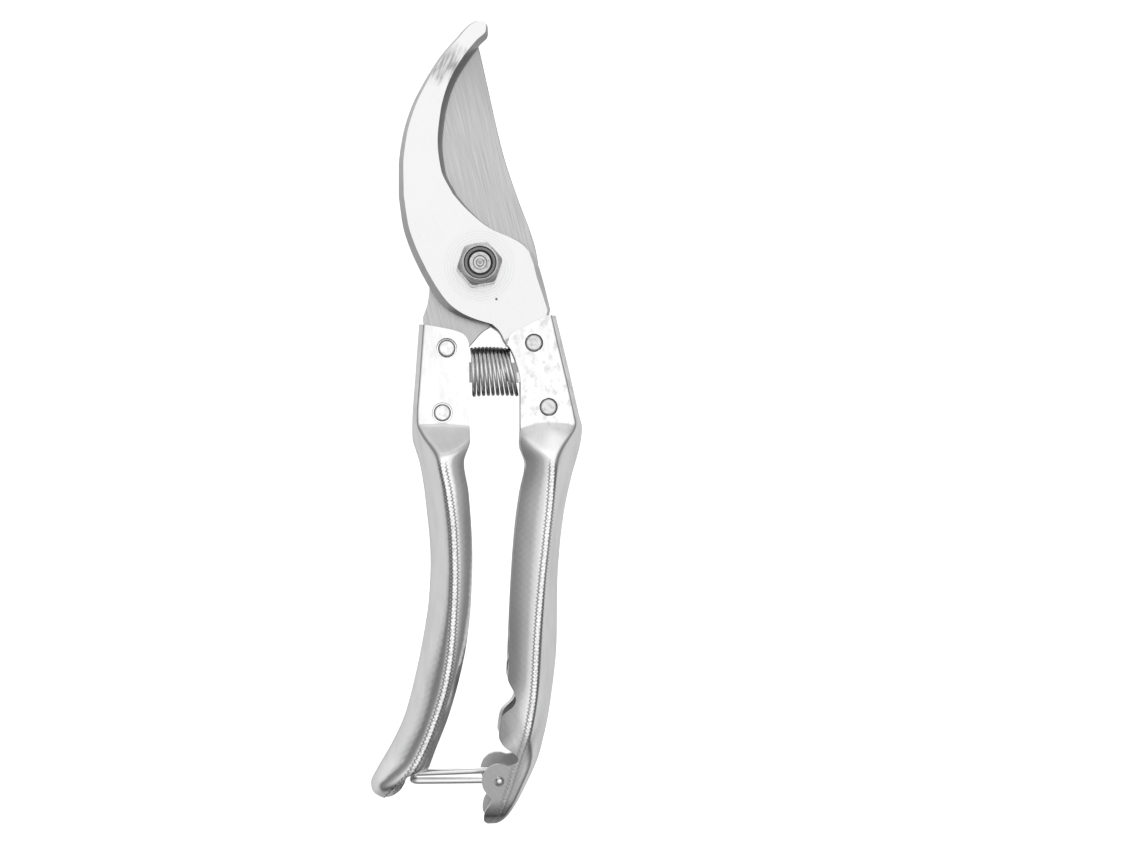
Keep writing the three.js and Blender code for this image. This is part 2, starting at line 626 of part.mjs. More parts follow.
/** A wire coiled round an axis that bends sideways, from one handle's edge to the other's. */
class CoilCurve extends THREE.Curve {
  constructor(start, end, tilt) {
    super();
    this.tilt = tilt;
    this.start = start;
    this.span = end.clone().sub(start);
    this.radius = (SPRING_DIAMETER - SPRING_WIRE) / 2;
  }

  getPoint(t, target = new THREE.Vector3()) {
    const lean = this.tilt * t;
    const reached = Math.sin(lean) / Math.sin(this.tilt);
    const straight = t * (1 - Math.cos(this.tilt));
    const sag = (this.span.x / this.tilt) * (Math.cos(lean) - 1 + straight);
    const turn = t * SPRING_TURNS * Math.PI * 2;
    const across = this.radius * Math.cos(turn);
    const x = this.start.x + this.span.x * reached - across * Math.sin(lean);
    const y = this.start.y + sag + across * Math.cos(lean);
    return target.set(x, y, this.start.z + this.radius * Math.sin(turn));
  }
}

/** A round wire swept along a curve. */
function wire(curve, diameter, sides, steps) {
  const round = arc(at(0, 0), diameter / 2, 0, 360, sides).slice(0, sides);
  const settings = { steps, extrudePath: curve, bevelEnabled: false };
  return solid(new THREE.ExtrudeGeometry(new THREE.Shape(round), settings));
}

/** Where an end coil that leans by `slope` stands clear of a handle's open edge. */
function springSeat(plan, slope) {
  const run = SPRING_DIAMETER / 2;
  const room = [-1, -0.75, -0.5, -0.25, 0, 0.25, 0.5, 0.75, 1].map((share) => {
    const up = share * run;
    return plan.side * (plan.edge(springY + up) + up * slope);
  });
  const stand = CLEARANCE + SPRING_WIRE / 2;
  return new THREE.Vector3(plan.side * (Math.min(...room) - stand), springY, 0);
}

/** The spring, from the blade handle's edge to the hook handle's, which leans away from it. */
function returnSpring() {
  const run = SPRING_DIAMETER / 2;
  const slope = (hookHandle.edge(springY - run) - hookHandle.edge(springY + run)) / (2 * run);
  const [start, end] = [springSeat(bladeHandle, 0), springSeat(hookHandle, slope)];
  return wire(new CoilCurve(start, end, Math.atan(slope)), SPRING_WIRE, 6, 132);
}

const CROSSBAR_X = -16.5;

/** The catch: one wire, from one ear's hole along a leg, across, and back to the other ear. */
function wireCatch() {
  const reach = mouthY - earY - CATCH_WIRE / 2 - 0.2;
  const bar = CROSSBAR_LENGTH / 2;
  const inside = GRIP_DEPTH / 2 - SHEET - CLEARANCE - CATCH_WIRE / 2;
  const half = [
    [EAR_X, 0, GRIP_DEPTH / 2], [EAR_X, 0, inside + 1], [EAR_X - 0.35, 0, inside + 0.25],
    [EAR_X - 1.2, 0, inside], [EAR_X - 5, 0, inside - 0.1], [0.4 * CROSSBAR_X, -0.2, inside - 0.7],
    [0.75 * CROSSBAR_X, -0.3, bar + 0.2], [CROSSBAR_X + 1.6, -0.25, bar],
    [CROSSBAR_X + 0.4, reach - 0.35, bar - 0.35], [CROSSBAR_X, reach, bar - 1.4],
  ].map(([x, rise, z]) => new THREE.Vector3(x, earY + rise, z));
  const mirrored = half.map((p) => p.clone().setZ(-p.z)).reverse();
  const path = [...half, ...mirrored].map((p) => p.setZ(p.z + GRIP_OFFSET));
  return wire(new THREE.CatmullRomCurve3(path, false, 'centripetal'), CATCH_WIRE, 8, 60);
}

// ---------------------------------------------------------------- assembly

const nutUnder = hookTop + CLEARANCE;
const boltEnd = nutUnder + NUT_HEX_HEIGHT + COLLAR_HEIGHT - 0.3;
const bladeRivets = [
  rivet(bladeHandle, -20.2, BLADE_RIVET_SUNK),
  rivet(bladeHandle, flatEnd + 3.8, BLADE_RIVET_SUNK),
];
const hookRivets = [rivet(hookHandle, -19), rivet(hookHandle, flatEnd + 5.2)];
const pivotHole = drum(SHANK_DIAMETER / 2 + CLEARANCE, -THROUGH, THROUGH);
const keyedHole = prism(keyedOutline(CLEARANCE), -THROUGH, THROUGH);
const earHole = drum(CATCH_WIRE / 2 + CATCH_PLAY, -THROUGH, THROUGH, EAR_X, earY, 20);
const holes = (rivets) => rivets.map(({ hole }) => hole);
const hookTang = tangOutline(hookHandle, -20.8, -13.4);
const bladeTang = tangOutline(bladeHandle, -22, -15);
const hook = counterBlade(hookTang, [pivotHole, ...holes(hookRivets), nubTrim(hookHandle)]);
const blade = cuttingBlade(bladeTang, [keyedHole, ...holes(bladeRivets), nubTrim(bladeHandle)]);
const hookChannel = channel(hookHandle, hookHandleTrims(), [...hookRivets, { hole: earHole }]);
const bladeChannel = channel(bladeHandle, bladeHandleTrims(), bladeRivets);

const shears = new THREE.Group();
shears.add(
  piece('counter_blade', hook, MATERIALS.hook),
  piece('cutting_blade', blade, MATERIALS.blade),
  piece('hook_handle', hookChannel, MATERIALS.handle),
  piece('blade_handle', bladeChannel, MATERIALS.handle),
  piece('hook_rivet_upper', hookRivets[0].pin, MATERIALS.fastener),
  piece('hook_rivet_lower', hookRivets[1].pin, MATERIALS.fastener),
  piece('blade_rivet_upper', bladeRivets[0].pin, MATERIALS.fastener),
  piece('blade_rivet_lower', bladeRivets[1].pin, MATERIALS.fastener),
  piece('pivot_bolt', pivotBolt(boltEnd), MATERIALS.fastener),
  piece('pivot_nut', pivotNut(nutUnder), MATERIALS.fastener),
  piece('nut_insert', nutInsert(nutUnder), MATERIALS.nylon),
  piece('return_spring', returnSpring(), MATERIALS.spring),
  piece('wire_catch', wireCatch(), MATERIALS.fastener),
);

const box = new THREE.Box3().setFromObject(shears, true);
const middle = box.getCenter(new THREE.Vector3());
shears.position.set(-middle.x, -middle.y, -box.min.z);

export default shears;
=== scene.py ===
# %% [markdown]
# # Bypass pruning shears in bright steel
# These garden shears are closed, and a wire catch holds them shut. Two flat blades turn on one
# bolt, and each blade is riveted into a handle of pressed sheet steel. A short coil spring
# between the handles opens them when the catch is let go.
#
# The shears lie flat and are looked at from above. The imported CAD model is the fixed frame:
# its joints say where everything turns, and its boxes say how large everything is. Every piece
# here is a surface worked out with numpy round the pivot, in millimetres, and then put where
# the frame says.

# %% The frame and what it says
import json
import math

import bmesh
import bpy
import numpy as np
from mathutils import Matrix, Vector


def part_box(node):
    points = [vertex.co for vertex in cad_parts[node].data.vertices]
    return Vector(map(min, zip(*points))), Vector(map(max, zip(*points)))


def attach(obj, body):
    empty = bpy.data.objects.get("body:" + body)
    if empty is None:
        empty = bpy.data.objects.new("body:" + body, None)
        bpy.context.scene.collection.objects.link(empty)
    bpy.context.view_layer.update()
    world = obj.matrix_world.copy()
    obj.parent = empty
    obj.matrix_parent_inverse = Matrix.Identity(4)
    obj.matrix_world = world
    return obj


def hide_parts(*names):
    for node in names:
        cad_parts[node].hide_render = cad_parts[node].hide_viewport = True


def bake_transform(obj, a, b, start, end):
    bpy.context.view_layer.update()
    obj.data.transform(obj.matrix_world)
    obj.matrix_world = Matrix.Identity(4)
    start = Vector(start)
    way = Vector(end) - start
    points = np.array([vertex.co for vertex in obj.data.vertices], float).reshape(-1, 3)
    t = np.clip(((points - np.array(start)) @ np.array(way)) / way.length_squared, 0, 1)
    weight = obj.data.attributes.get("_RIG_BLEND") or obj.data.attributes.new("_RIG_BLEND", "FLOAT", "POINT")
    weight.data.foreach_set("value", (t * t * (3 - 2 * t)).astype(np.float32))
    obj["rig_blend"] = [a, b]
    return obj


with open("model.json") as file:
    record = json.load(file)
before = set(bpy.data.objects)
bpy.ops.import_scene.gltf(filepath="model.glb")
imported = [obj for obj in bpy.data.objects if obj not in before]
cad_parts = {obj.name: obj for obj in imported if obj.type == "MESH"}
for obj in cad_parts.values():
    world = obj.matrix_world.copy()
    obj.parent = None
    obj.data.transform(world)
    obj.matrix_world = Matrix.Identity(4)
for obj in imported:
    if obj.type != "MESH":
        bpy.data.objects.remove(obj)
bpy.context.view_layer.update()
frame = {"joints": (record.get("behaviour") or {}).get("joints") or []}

MM = 0.001
joints = {joint["name"]: joint for joint in frame["joints"]}
PIVOT = np.array(joints["blade_pivot"]["pos_m"])
EAR = (np.array(joints["catch_hinge"]["pos_m"]) - PIVOT) / MM


def box_mm(node):
    """A CAD node's lowest and highest corners in millimetres from the pivot."""
    return [(np.array(corner) - PIVOT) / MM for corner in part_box(node)]


print("pivot", PIVOT.round(5), "catch hinge", EAR.round(2), "mm from it")

# %% [markdown]
# ## Lines and grids
# Most shapes below are drawn by a few measured points on a plan. A line through such points
# should be smooth, and it should never swing past them, or a handle would bulge where nobody
# put a bulge. A cubic whose slope at each point is the harmonic mean of its neighbours' slopes
# does that. Averaging it over a short reach then takes away the last change of curvature,
# which bright metal would show at once.

# %% Lines through points


def line_through(pairs, soften=0.0):
    """A smooth line through (place, value) pairs: cubic pieces whose slope at a pair is the
    harmonic mean of the rises beside it, or 0 at a turn. `soften` is how far it is averaged."""
    place, value = np.array(sorted(pairs), float).T
    rise = np.diff(value) / np.diff(place)
    before, after = np.r_[rise[0], rise], np.r_[rise, rise[-1]]
    same_way = before * after > 0
    slope = np.where(same_way, 2 * before * after / np.where(same_way, before + after, 1), 0)

    def cubic(places):
        inside = np.clip(places, place[0], place[-1])
        k = np.clip(np.searchsorted(place, inside, side="right") - 1, 0, len(rise) - 1)
        span = place[k + 1] - place[k]
        t = (inside - place[k]) / span
        middle = value[k] + (value[k + 1] - value[k]) * t * t * (3 - 2 * t)
        return middle + span * (slope[k] * t * (1 - t) ** 2 - slope[k + 1] * t * t * (1 - t))

    def softened(places):
        weights = np.array([1, 4, 6, 4, 1]) / 16
        steps = np.linspace(-soften, soften, 5)
        return sum(weight * cubic(np.asarray(places) + step) for weight, step in zip(weights, steps))

    return softened if soften else cubic


def curve_through(points, count, soften=0.0):
    """`count` points evenly spaced along a smooth curve through (x, y) points."""
    points = np.array(points, float)
    run = np.r_[0, np.hypot(*np.diff(points, axis=0).T).cumsum()]
    lines = [line_through(list(zip(run, points[:, axis])), soften) for axis in (0, 1)]
    fine = np.linspace(0, run[-1], 40 * len(points))
    drawn = np.stack([line(fine) for line in lines], axis=1)
    along = np.r_[0, np.hypot(*np.diff(drawn, axis=0).T).cumsum()]
    even = np.linspace(0, along[-1], count)
    return np.stack([np.interp(even, along, drawn[:, axis]) for axis in (0, 1)], axis=1)


def soft_min(a, b, radius):
    """The lower of two heights, with the crease between them rounded."""
    return (a + b - np.sqrt((a - b) ** 2 + radius**2)) / 2


# %% [markdown]
# A grid of points becomes a surface when each four neighbours are joined to a face. Rows or
# columns can close on themselves, as round a wire. The points are millimetres from the pivot
# until the mesh is made, and then they are metres in the frame, so that every object sits at
# the origin, unturned and unscaled.

# %% Surfaces from grids


def grid_faces(rows, columns, closed_rows=False, closed_columns=False):
    """The four corners of each face of a grid of points numbered row by row."""
    row = np.arange(rows if closed_rows else rows - 1)[:, None]
    column = np.arange(columns if closed_columns else columns - 1)[None, :]
    next_row, next_column = (row + 1) % rows, (column + 1) % columns
    corners = [(row, column), (row, next_column), (next_row, next_column), (next_row, column)]
    return np.stack([r * columns + c for r, c in corners], axis=-1).reshape(-1, 4)


def mesh_from(name, points, faces, triangles=()):
    """A mesh of points, in millimetres from the pivot, with faces of four corners, and
    triangles where a surface is closed by a fan."""
    mesh = bpy.data.meshes.new(name)
    metres = (PIVOT + np.asarray(points).reshape(-1, 3) * MM).astype(np.float32)
    triangles = np.array(triangles, int).reshape(-1, 3)
    corners = np.concatenate([faces.ravel(), triangles.ravel()]).astype(np.int32)
    sizes = np.r_[np.full(len(faces), 4), np.full(len(triangles), 3)]
    mesh.vertices.add(len(metres))
    mesh.vertices.foreach_set("co", metres.ravel())
    mesh.loops.add(len(corners))
    mesh.loops.foreach_set("vertex_index", corners)
    mesh.polygons.add(len(sizes))
    mesh.polygons.foreach_set("loop_start", (np.cumsum(sizes) - sizes).astype(np.int32))
    mesh.update(calc_edges=True)
    return mesh


def weld(mesh, outwards=True):
    """Joins points that coincide, as at a pole, and turns every face outwards."""
    work = bmesh.new()
    work.from_mesh(mesh)
    bmesh.ops.remove_doubles(work, verts=work.verts, dist=0.004 * MM)
    loose = [vertex for vertex in work.verts if not vertex.link_faces]
    bmesh.ops.delete(work, geom=loose, context="VERTS")
    if outwards:
        bmesh.ops.recalc_face_normals(work, faces=work.faces)
    work.to_mesh(mesh)
    work.free()
    return mesh


def shade(mesh, angle=32.0):
    """Smooth shading, broken at edges sharper than `angle` degrees."""
    mesh.polygons.foreach_set("use_smooth", np.ones(len(mesh.polygons), bool))
    mesh.set_sharp_from_angle(angle=math.radians(angle))
    mesh.update()


def piece_from(mesh, name, body, node, materials, angle=32.0):
    """An object for a mesh, which stands for a CAD node and rides on its body."""
    piece = bpy.data.objects.new(name, mesh)
    bpy.context.scene.collection.objects.link(piece)
    for material in materials:
        mesh.materials.append(material)
    shade(mesh, angle)
    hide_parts(node)
    if body:
        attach(piece, body)
    print(f"{name}: {len(mesh.polygons)} faces")
    return piece


# %% [markdown]
# Round pieces, such as rivets, are a profile turned about an upright axis. A wire is a circle
# carried along a path.

# %% Turned pieces and wires


def turned(profile, centre=(0.0, 0.0), sides=64, closed=False):
    """The surface that (radius, height) pairs draw when they turn about an upright axis:
    x = radius cos(angle), y = radius sin(angle)."""
    radius, height = np.array(profile, float).T
    angle = np.linspace(0, 2 * math.pi, sides, endpoint=False)
    x = centre[0] + radius[:, None] * np.cos(angle)
    y = centre[1] + radius[:, None] * np.sin(angle)
    points = np.stack([x, y, np.broadcast_to(height[:, None], x.shape)], axis=-1)
    return points.reshape(-1, 3), grid_faces(len(profile), sides, closed, True)


def rounded(corners, radius, steps=5):
    """A profile whose inner corners are rounded: each becomes a short curve that leaves one
    side `radius` before the corner and meets the next side `radius` after it."""
    corners = np.array(corners, float)
    t = np.linspace(0, 1, steps)[:, None]
    pieces = [corners[:1]]
    for before, corner, after in zip(corners, corners[1:], corners[2:]):
        into, out = before - corner, after - corner
        reach = min(radius, 0.45 * np.linalg.norm(into), 0.45 * np.linalg.norm(out))
        start = corner + into / np.linalg.norm(into) * reach
        end = corner + out / np.linalg.norm(out) * reach
        pieces.append(start * (1 - t) ** 2 + 2 * corner * t * (1 - t) + end * t**2)
    return np.concatenate([*pieces, corners[-1:]])


def tube(path, normal, radius, sides=16):
    """A circle of `radius`, for each point of the path, in the plane of `normal` and of the
    direction that is square to both it and the path. The radius may change along the path."""
    ahead = np.gradient(path, axis=0)
    ahead /= np.linalg.norm(ahead, axis=1, keepdims=True)
    normal = normal - (normal * ahead).sum(1, keepdims=True) * ahead
    normal /= np.linalg.norm(normal, axis=1, keepdims=True)
    across = np.cross(ahead, normal)
    angle = np.linspace(0, 2 * math.pi, sides, endpoint=False)[None, :, None]
    radius = np.broadcast_to(radius, len(path))[:, None, None]
    ring = np.cos(angle) * normal[:, None] + np.sin(angle) * across[:, None]
    return path[:, None] + radius * ring


def closed_wire(name, rings, path):
    """A mesh of a wire's rings, whose two ends are closed by fans round the path's ends."""
    count, sides = rings.shape[:2]
    points = np.concatenate([rings.reshape(-1, 3), path[[0, -1]]])
    here = np.arange(sides)
    after = (here + 1) % sides
    first = np.stack([after, here, np.full(sides, count * sides)], axis=1)
    last = np.stack([here, after, np.full(sides, count * sides + 1 - (count - 1) * sides)], axis=1)
    triangles = np.concatenate([first, last + (count - 1) * sides])
    return mesh_from(name, points, grid_faces(count, sides, False, True), triangles)

# %% [markdown]
# ## Shader maths
# A material is a graph of nodes, which is tedious to write and hard to read. Here one small
# class holds a socket and overloads the operators, so that `1 - scratches * 0.3` adds the
# Math nodes it needs. Colours go through Mix nodes, since a Math node would turn them grey.

# %% Sockets that can be calculated with


class Signal:
    """A value in a material's node graph."""

    def __init__(self, graph, socket):
        self.graph, self.socket = graph, socket

    def math(self, operation, *values, clamp=False):
        inputs = dict(enumerate(values))
        return self.graph.node("Math", {"operation": operation, "use_clamp": clamp}, inputs)

    def __add__(self, other):
        return self.math("ADD", self, other)

    def __sub__(self, other):
        return self.math("SUBTRACT", self, other)

    def __rsub__(self, other):
        return self.math("SUBTRACT", other, self)

    def __mul__(self, other):
        return self.math("MULTIPLY", self, other)

    def __truediv__(self, other):
        return self.math("DIVIDE", self, other)

    __radd__, __rmul__ = __add__, __mul__

    def size(self):
        return self.math("ABSOLUTE", self)

    def wave(self):
        """The sine of the value, in radians."""
        return self.math("SINE", self)

    def above(self, low, high):
        """0 up to `low`, 1 from `high`, and a smooth rise between them."""
        settings = {"interpolation_type": "SMOOTHSTEP"}
        return self.graph.node("MapRange", settings, {0: self, 1: low, 2: high, 3: 0.0, 4: 1.0})


class Finish:
    """A material and its node graph."""

    def __init__(self, name):
        self.material = bpy.data.materials.new(name)
        self.material.use_nodes = True
        self.nodes = self.material.node_tree.nodes
        self.links = self.material.node_tree.links
        self.nodes.clear()
        self.place = self.node("TexCoord", out="Object")

    def node(self, kind, settings=None, inputs=None, out=0):
        """A node of a kind, with its settings, its sockets' values or links, and one output."""
        made = self.nodes.new("ShaderNode" + kind)
        for setting, value in (settings or {}).items():
            setattr(made, setting, value)
        for socket, value in (inputs or {}).items():
            if isinstance(value, Signal):
                self.links.new(value.socket, made.inputs[socket])
            else:
                made.inputs[socket].default_value = value
        return Signal(self, made.outputs[out])

    def stretched(self, sizes, turn=0.0):
        """Object coordinates in which a pattern's cell is `sizes` millimetres, turned about Z."""
        turned_place = self.node("Mapping", {"vector_type": "TEXTURE"}, {
            "Vector": self.place,
            "Location": tuple(PIVOT),
            "Rotation": (0.0, 0.0, math.radians(turn)),
            "Scale": tuple(size * MM for size in sizes),
        })
        return turned_place

    def noise(self, sizes, detail=2.0, turn=0.0, roughness=0.5):
        """A cloudy pattern from 0 to 1, whose cells are `sizes` millimetres."""
        return self.node("TexNoise", None, {
            "Vector": self.stretched(sizes, turn), "Scale": 1.0, "Detail": detail,
            "Roughness": roughness,
        })

    def from_point(self, x, y):
        """The distance in millimetres, on the plan, from a point given from the pivot."""
        apart = self.node("VectorMath", {"operation": "SUBTRACT"}, {
            0: self.place, 1: (PIVOT[0] + x * MM, PIVOT[1] + y * MM, 0.0),
        })
        flat = self.node("VectorMath", {"operation": "MULTIPLY"}, {
            0: apart, 1: (1 / MM, 1 / MM, 0.0),
        })
        return self.node("VectorMath", {"operation": "LENGTH"}, {0: flat}, out="Value")

    def mix(self, share, low, high):
        """A colour between two, by a share from 0 to 1."""
        settings = {"data_type": "RGBA"}
        return self.node("Mix", settings, {"Factor": share, 6: low, 7: high}, out=2)

    def relief(self, height, depth_mm, under=None):
        """A surface that rises by `depth_mm` where `height` goes from 0 to 1."""
        inputs = {"Height": height, "Distance": depth_mm * MM, "Strength": 1.0}
        if under is not None:
            inputs["Normal"] = under
        return self.node("Bump", None, inputs)

    def metal(self, colour, roughness, normal=None, **constants):
        """The finished material: bare or plated metal of a colour and a roughness."""
        inputs = {"Base Color": colour, "Roughness": roughness, "Metallic": 1.0, **constants}
        if normal is not None:
            inputs["Normal"] = normal
        surface = self.node("BsdfPrincipled", None, inputs)
        output = self.nodes.new("ShaderNodeOutputMaterial")
        self.links.new(surface.socket, output.inputs["Surface"])
        return self.material


def grey(value):
    """An opaque neutral colour."""
    return (value, value, value * 1.005, 1.0)


# %% [markdown]
# ## Finishes
# The hook was ground flat and bright, and shows fine scratches that cross each other. Near its
# tip it has been rubbed dull, and the turning nut has drawn faint rings round itself. Long thin
# noise cells, turned to a few directions, make the scratches, and distances from a point on
# the plan make the patch and the rings.

# %% Ground steel of the hook
steel = Finish("ground_hook_steel")
scratches = steel.noise((0.12, 9.0, 4.0), turn=24).above(0.58, 0.75)
scratches = scratches + steel.noise((0.1, 6.0, 4.0), turn=-38).above(0.6, 0.78) * 0.8
scratches = scratches + steel.noise((0.09, 14.0, 4.0), turn=4).above(0.6, 0.8) * 0.7
clouds = steel.noise((7.0, 12.0, 7.0), detail=3.0)
patch_edge = steel.noise((1.6, 3.2, 3.0), detail=4.0, turn=-20)
rubbed = (steel.from_point(-8.5, 50.0) + patch_edge * 7.0).above(10.5, 5.5)
streaks = steel.noise((0.5, 5.0, 4.0), detail=3.0, turn=-25).above(0.42, 0.62)
rubbed = rubbed * (0.35 + streaks * 0.65)
from_nut = steel.from_point(0.0, 0.0)
rings = (from_nut * 9.0).wave() * 0.5 + 0.5
rings = rings * from_nut.above(9.6, 8.4) * from_nut.above(5.6, 6.4)
pit = (steel.from_point(4.2, -8.2) + patch_edge * 0.3).above(0.55, 0.35)
hook_colour = steel.mix(pit, steel.mix(rubbed, grey(0.74), grey(0.4)), grey(0.12))
HOOK_STEEL = steel.metal(
    hook_colour,
    0.2 + clouds * 0.08 + scratches * 0.1 + rubbed * 0.2 + rings * 0.1,
    steel.relief(scratches + rings * 0.4, 0.002),
)



def bevel_steel_painted_dark(name, light, dark):
    """A bevel's steel, coloured darker than the hook as painted shade, with the wheel's short lines across it."""
    made = Finish(name)
    wheel = made.noise((0.14, 0.14, 2.5), detail=3.0)
    burn = made.noise((2.5, 2.5, 2.5), detail=3.0)
    return made.metal(
        made.mix(burn, grey(light), grey(dark)), 0.24 + wheel * 0.16, made.relief(wheel, 0.008)
    )


# Darker copies of the hook's steel for its sloping faces, as painted shade.
JAW_PAINTED_SHADE = bevel_steel_painted_dark("ground_jaw_painted_shade", 0.42, 0.3)
CHAMFER_PAINTED_SHADE = bevel_steel_painted_dark("ground_chamfer_painted_shade", 0.66, 0.5)

# %% [markdown]
# The cutting blade was ground lengthwise on a belt, and its grain is the only pattern it has.
# It is darker than the hook, because a satin surface mirrors more of the dark room round it.

# %% Satin steel of the cutting blade
satin = Finish("satin_blade_steel")
grain = satin.noise((0.09, 16.0, 2.0), detail=4.0, turn=14, roughness=0.65)
broad = satin.noise((0.9, 30.0, 4.0), detail=2.0, turn=14)
marks = satin.noise((0.16, 10.0, 4.0), turn=-32).above(0.63, 0.78)
toward_tip = satin.from_point(0.0, 0.0).above(34.0, 60.0)
blade_colour = satin.mix(grain.above(0.3, 0.7), grey(0.38), grey(0.6))
blade_colour = satin.mix(toward_tip * 0.5, blade_colour, grey(0.24))
BLADE_STEEL = satin.metal(
    blade_colour,
    0.3 + broad * 0.1 + marks * 0.1,
    satin.relief(grain + marks * 0.5, 0.004),
)

# %% [markdown]
# The handles are pressed from sheet and plated bright. Plating fills no dents, so the surface
# keeps a fine orange-peel, and along the crest the press has left a slightly pebbled line. Fine
# dark lines beside the crest, and the dark grey at the end of the hook's handle, are painted
# shade. The sheared rims of the sheet are rougher than its faces.

# %% Bright plate, its sheared rims and its inside
bright = Finish("bright_handle_plate")
across = bright.node("SeparateXYZ", None, {0: bright.node("UVMap", {"uv_map": "sheet"})}, out=0)
along = bright.node("SeparateXYZ", None, {0: bright.node("UVMap", {"uv_map": "sheet"})}, out=1)
peel = bright.noise((1.1, 2.2, 1.1), detail=2.0)
smears = bright.noise((3.5, 14.0, 3.5), detail=4.0, turn=10)
specks = bright.noise((0.35, 0.35, 0.35), detail=1.0).above(0.74, 0.8)
on_grip = (along * -1.0).above(47.0, 50.0)
beads = (along * 7.0).wave() * bright.noise((0.6, 0.9, 0.6), detail=1.0)
from_land = (across + 0.4).size()
line = (from_land - 0.5 - beads * 0.12).size().above(0.3, 0.05) * on_grip
pebbles = bright.noise((0.5, 0.5, 0.5), detail=1.0) * from_land.above(0.6, 0.3) * on_grip
dimples = (along * 3.4).wave() * (across * 3.0).wave() * on_grip
sideways = bright.node("SeparateXYZ", None, {0: bright.place}, out=0)
on_hook_side = sideways.above(PIVOT[0] - 0.004, PIVOT[0])
stains = bright.noise((1.6, 2.6, 2.0), detail=5.0, roughness=0.62).above(0.48, 0.66)
on_flat = along.above(-43.0, -36.0) * (0.3 + on_hook_side * 0.7)
colour = bright.mix(smears.above(0.35, 0.75), grey(0.84), grey(0.76))
# The end of the hook's handle, over its ears and inner side, is coloured dark grey as painted shade, and made a
# little rougher.
ears_painted_shade_and_dullness = (along * -1.0 + smears * 8.0).above(114.0, 124.0) * on_hook_side * across.above(3.0, 1.0)
colour = bright.mix(ears_painted_shade_and_dullness, colour, grey(0.36))
# Fine dark lines beside the crest's land on the grips are painted shade.
crest_lines_painted_shade = (from_land - 0.75 - beads * 0.35).size().above(0.34, 0.1) * on_grip
grains = bright.noise((0.42, 0.42, 0.42), detail=2.0).above(0.5, 0.6)
grains = grains * from_land.above(0.75, 0.5) * on_grip
colour = bright.mix(crest_lines_painted_shade * 0.85, bright.mix(grains * 0.7, colour, grey(0.45)), grey(0.3))
HANDLE_PLATE = bright.metal(
    bright.mix(stains * on_flat * 0.8, colour, grey(0.62)),
    0.12 + smears * 0.08 + specks * 0.2 + stains * on_flat * 0.14 + ears_painted_shade_and_dullness * 0.1,
    bright.relief(line + pebbles, 0.05, bright.relief(dimples, 0.004, bright.relief(peel, 0.012))),
)
rim = Finish("sheared_rim")
torn = rim.noise((0.25, 0.25, 1.2), detail=3.0)
RIM_STEEL = rim.metal(
    rim.mix(torn, grey(0.62), grey(0.85)), 0.28 + torn * 0.2, rim.relief(torn, 0.02)
)
inside = Finish("inside_of_handle")
dust = inside.noise((2.5, 5.0, 2.5), detail=4.0)
INSIDE_PLATE = inside.metal(
    inside.mix(dust, grey(0.56), grey(0.74)), 0.35 + dust * 0.2, inside.relief(dust, 0.02)
)

# %% [markdown]
# Rivets, bolt and nut are small turned or pressed steel pieces. The tool that faced them left
# rings round their middles, so their pattern is a distance from the axis.

# %% Small fasteners


def turned_metal(name, light, dark, x, y, pitch, depth=0.004, rough=0.24):
    """Bright metal with fine tool rings round (x, y), `pitch` millimetres apart."""
    made = Finish(name)
    wander = made.noise((1.2, 1.2, 1.2), detail=2.0)
    turns = (made.from_point(x, y) + wander * 0.1) * (2 * math.pi / pitch)
    ring = turns.wave() * 0.5 + 0.5
    stains = made.noise((1.1, 1.1, 1.1), detail=4.0).above(0.4, 0.75)
    return made.metal(
        made.mix(stains, grey(light), grey(dark)),
        rough + stains * 0.12 + ring * 0.04,
        made.relief(ring, depth),
    )


NUT_STEEL = turned_metal("zinc_nut", 0.76, 0.6, 0.0, 0.0, 0.35)
BOLT_STEEL = turned_metal("turned_bolt_steel", 0.56, 0.4, 0.0, 0.0, 0.42, depth=0.02)
nylon = Finish("locking_ring")
nap = nylon.noise((0.3, 0.3, 0.3), detail=3.0)
INSERT_NYLON = nylon.metal(
    nylon.mix(nap, grey(0.2), grey(0.32)), 0.5 + nap * 0.1, nylon.relief(nap, 0.01), Metallic=0.0
)

# %% [markdown]
# The spring is oil-blackened wire, nearly black, and its glints are painted: the wire is coloured
# light near the top and bottom of each coil as a painted highlight. The catch is bright drawn
# wire: the die has left fine lines along it, which follow its own length and are kept in a UV
# map, whose U runs round the wire and whose V runs along it.

# %% Wires
black = Finish("blackened_spring_wire_painted_glints")
oil = black.noise((0.8, 0.8, 0.8), detail=3.0)
height = black.node("SeparateXYZ", None, {0: black.place}, out=2)
# Painted highlight: the wire is coloured light more than 3 to 5 mm above or below the pivot's height, at the top and
# bottom of each coil, and nearly black round its sides.
glints_painted_by_height = (height - PIVOT[2]).size().above(0.0030, 0.0052)
SPRING_STEEL = black.metal(
    black.mix(glints_painted_by_height, grey(0.1), grey(0.8)), 0.16 + oil * 0.12, black.relief(oil, 0.01)
)
drawn = Finish("drawn_catch_wire")
along_wire = drawn.node("UVMap", {"uv_map": "wire"})
lines_at = drawn.node("VectorMath", {"operation": "MULTIPLY"}, {0: along_wire, 1: (26.0, 0.9, 1.0)})
lines = drawn.node("TexNoise", None, {"Vector": lines_at, "Scale": 1.0, "Detail": 3.0})
CATCH_STEEL = drawn.metal(
    drawn.mix(lines, grey(0.7), grey(0.92)), 0.16 + lines * 0.14, drawn.relief(lines, 0.008)
)
print(len(bpy.data.materials), "finishes")

# %% [markdown]
# ## Blades
# A blade is a plate whose edges slope. Seen from above it is a ribbon between two outlines, so
# its grid has rows from the tip back to the tang, each row runs from one outline to the other,
# and the face sinks towards an outline by its bevel. The upper and the lower face share their
# plan, so the walls between them, and round each hole, only join equal edges. The tang goes
# on inside the handle, with a small nub that holds the spring.

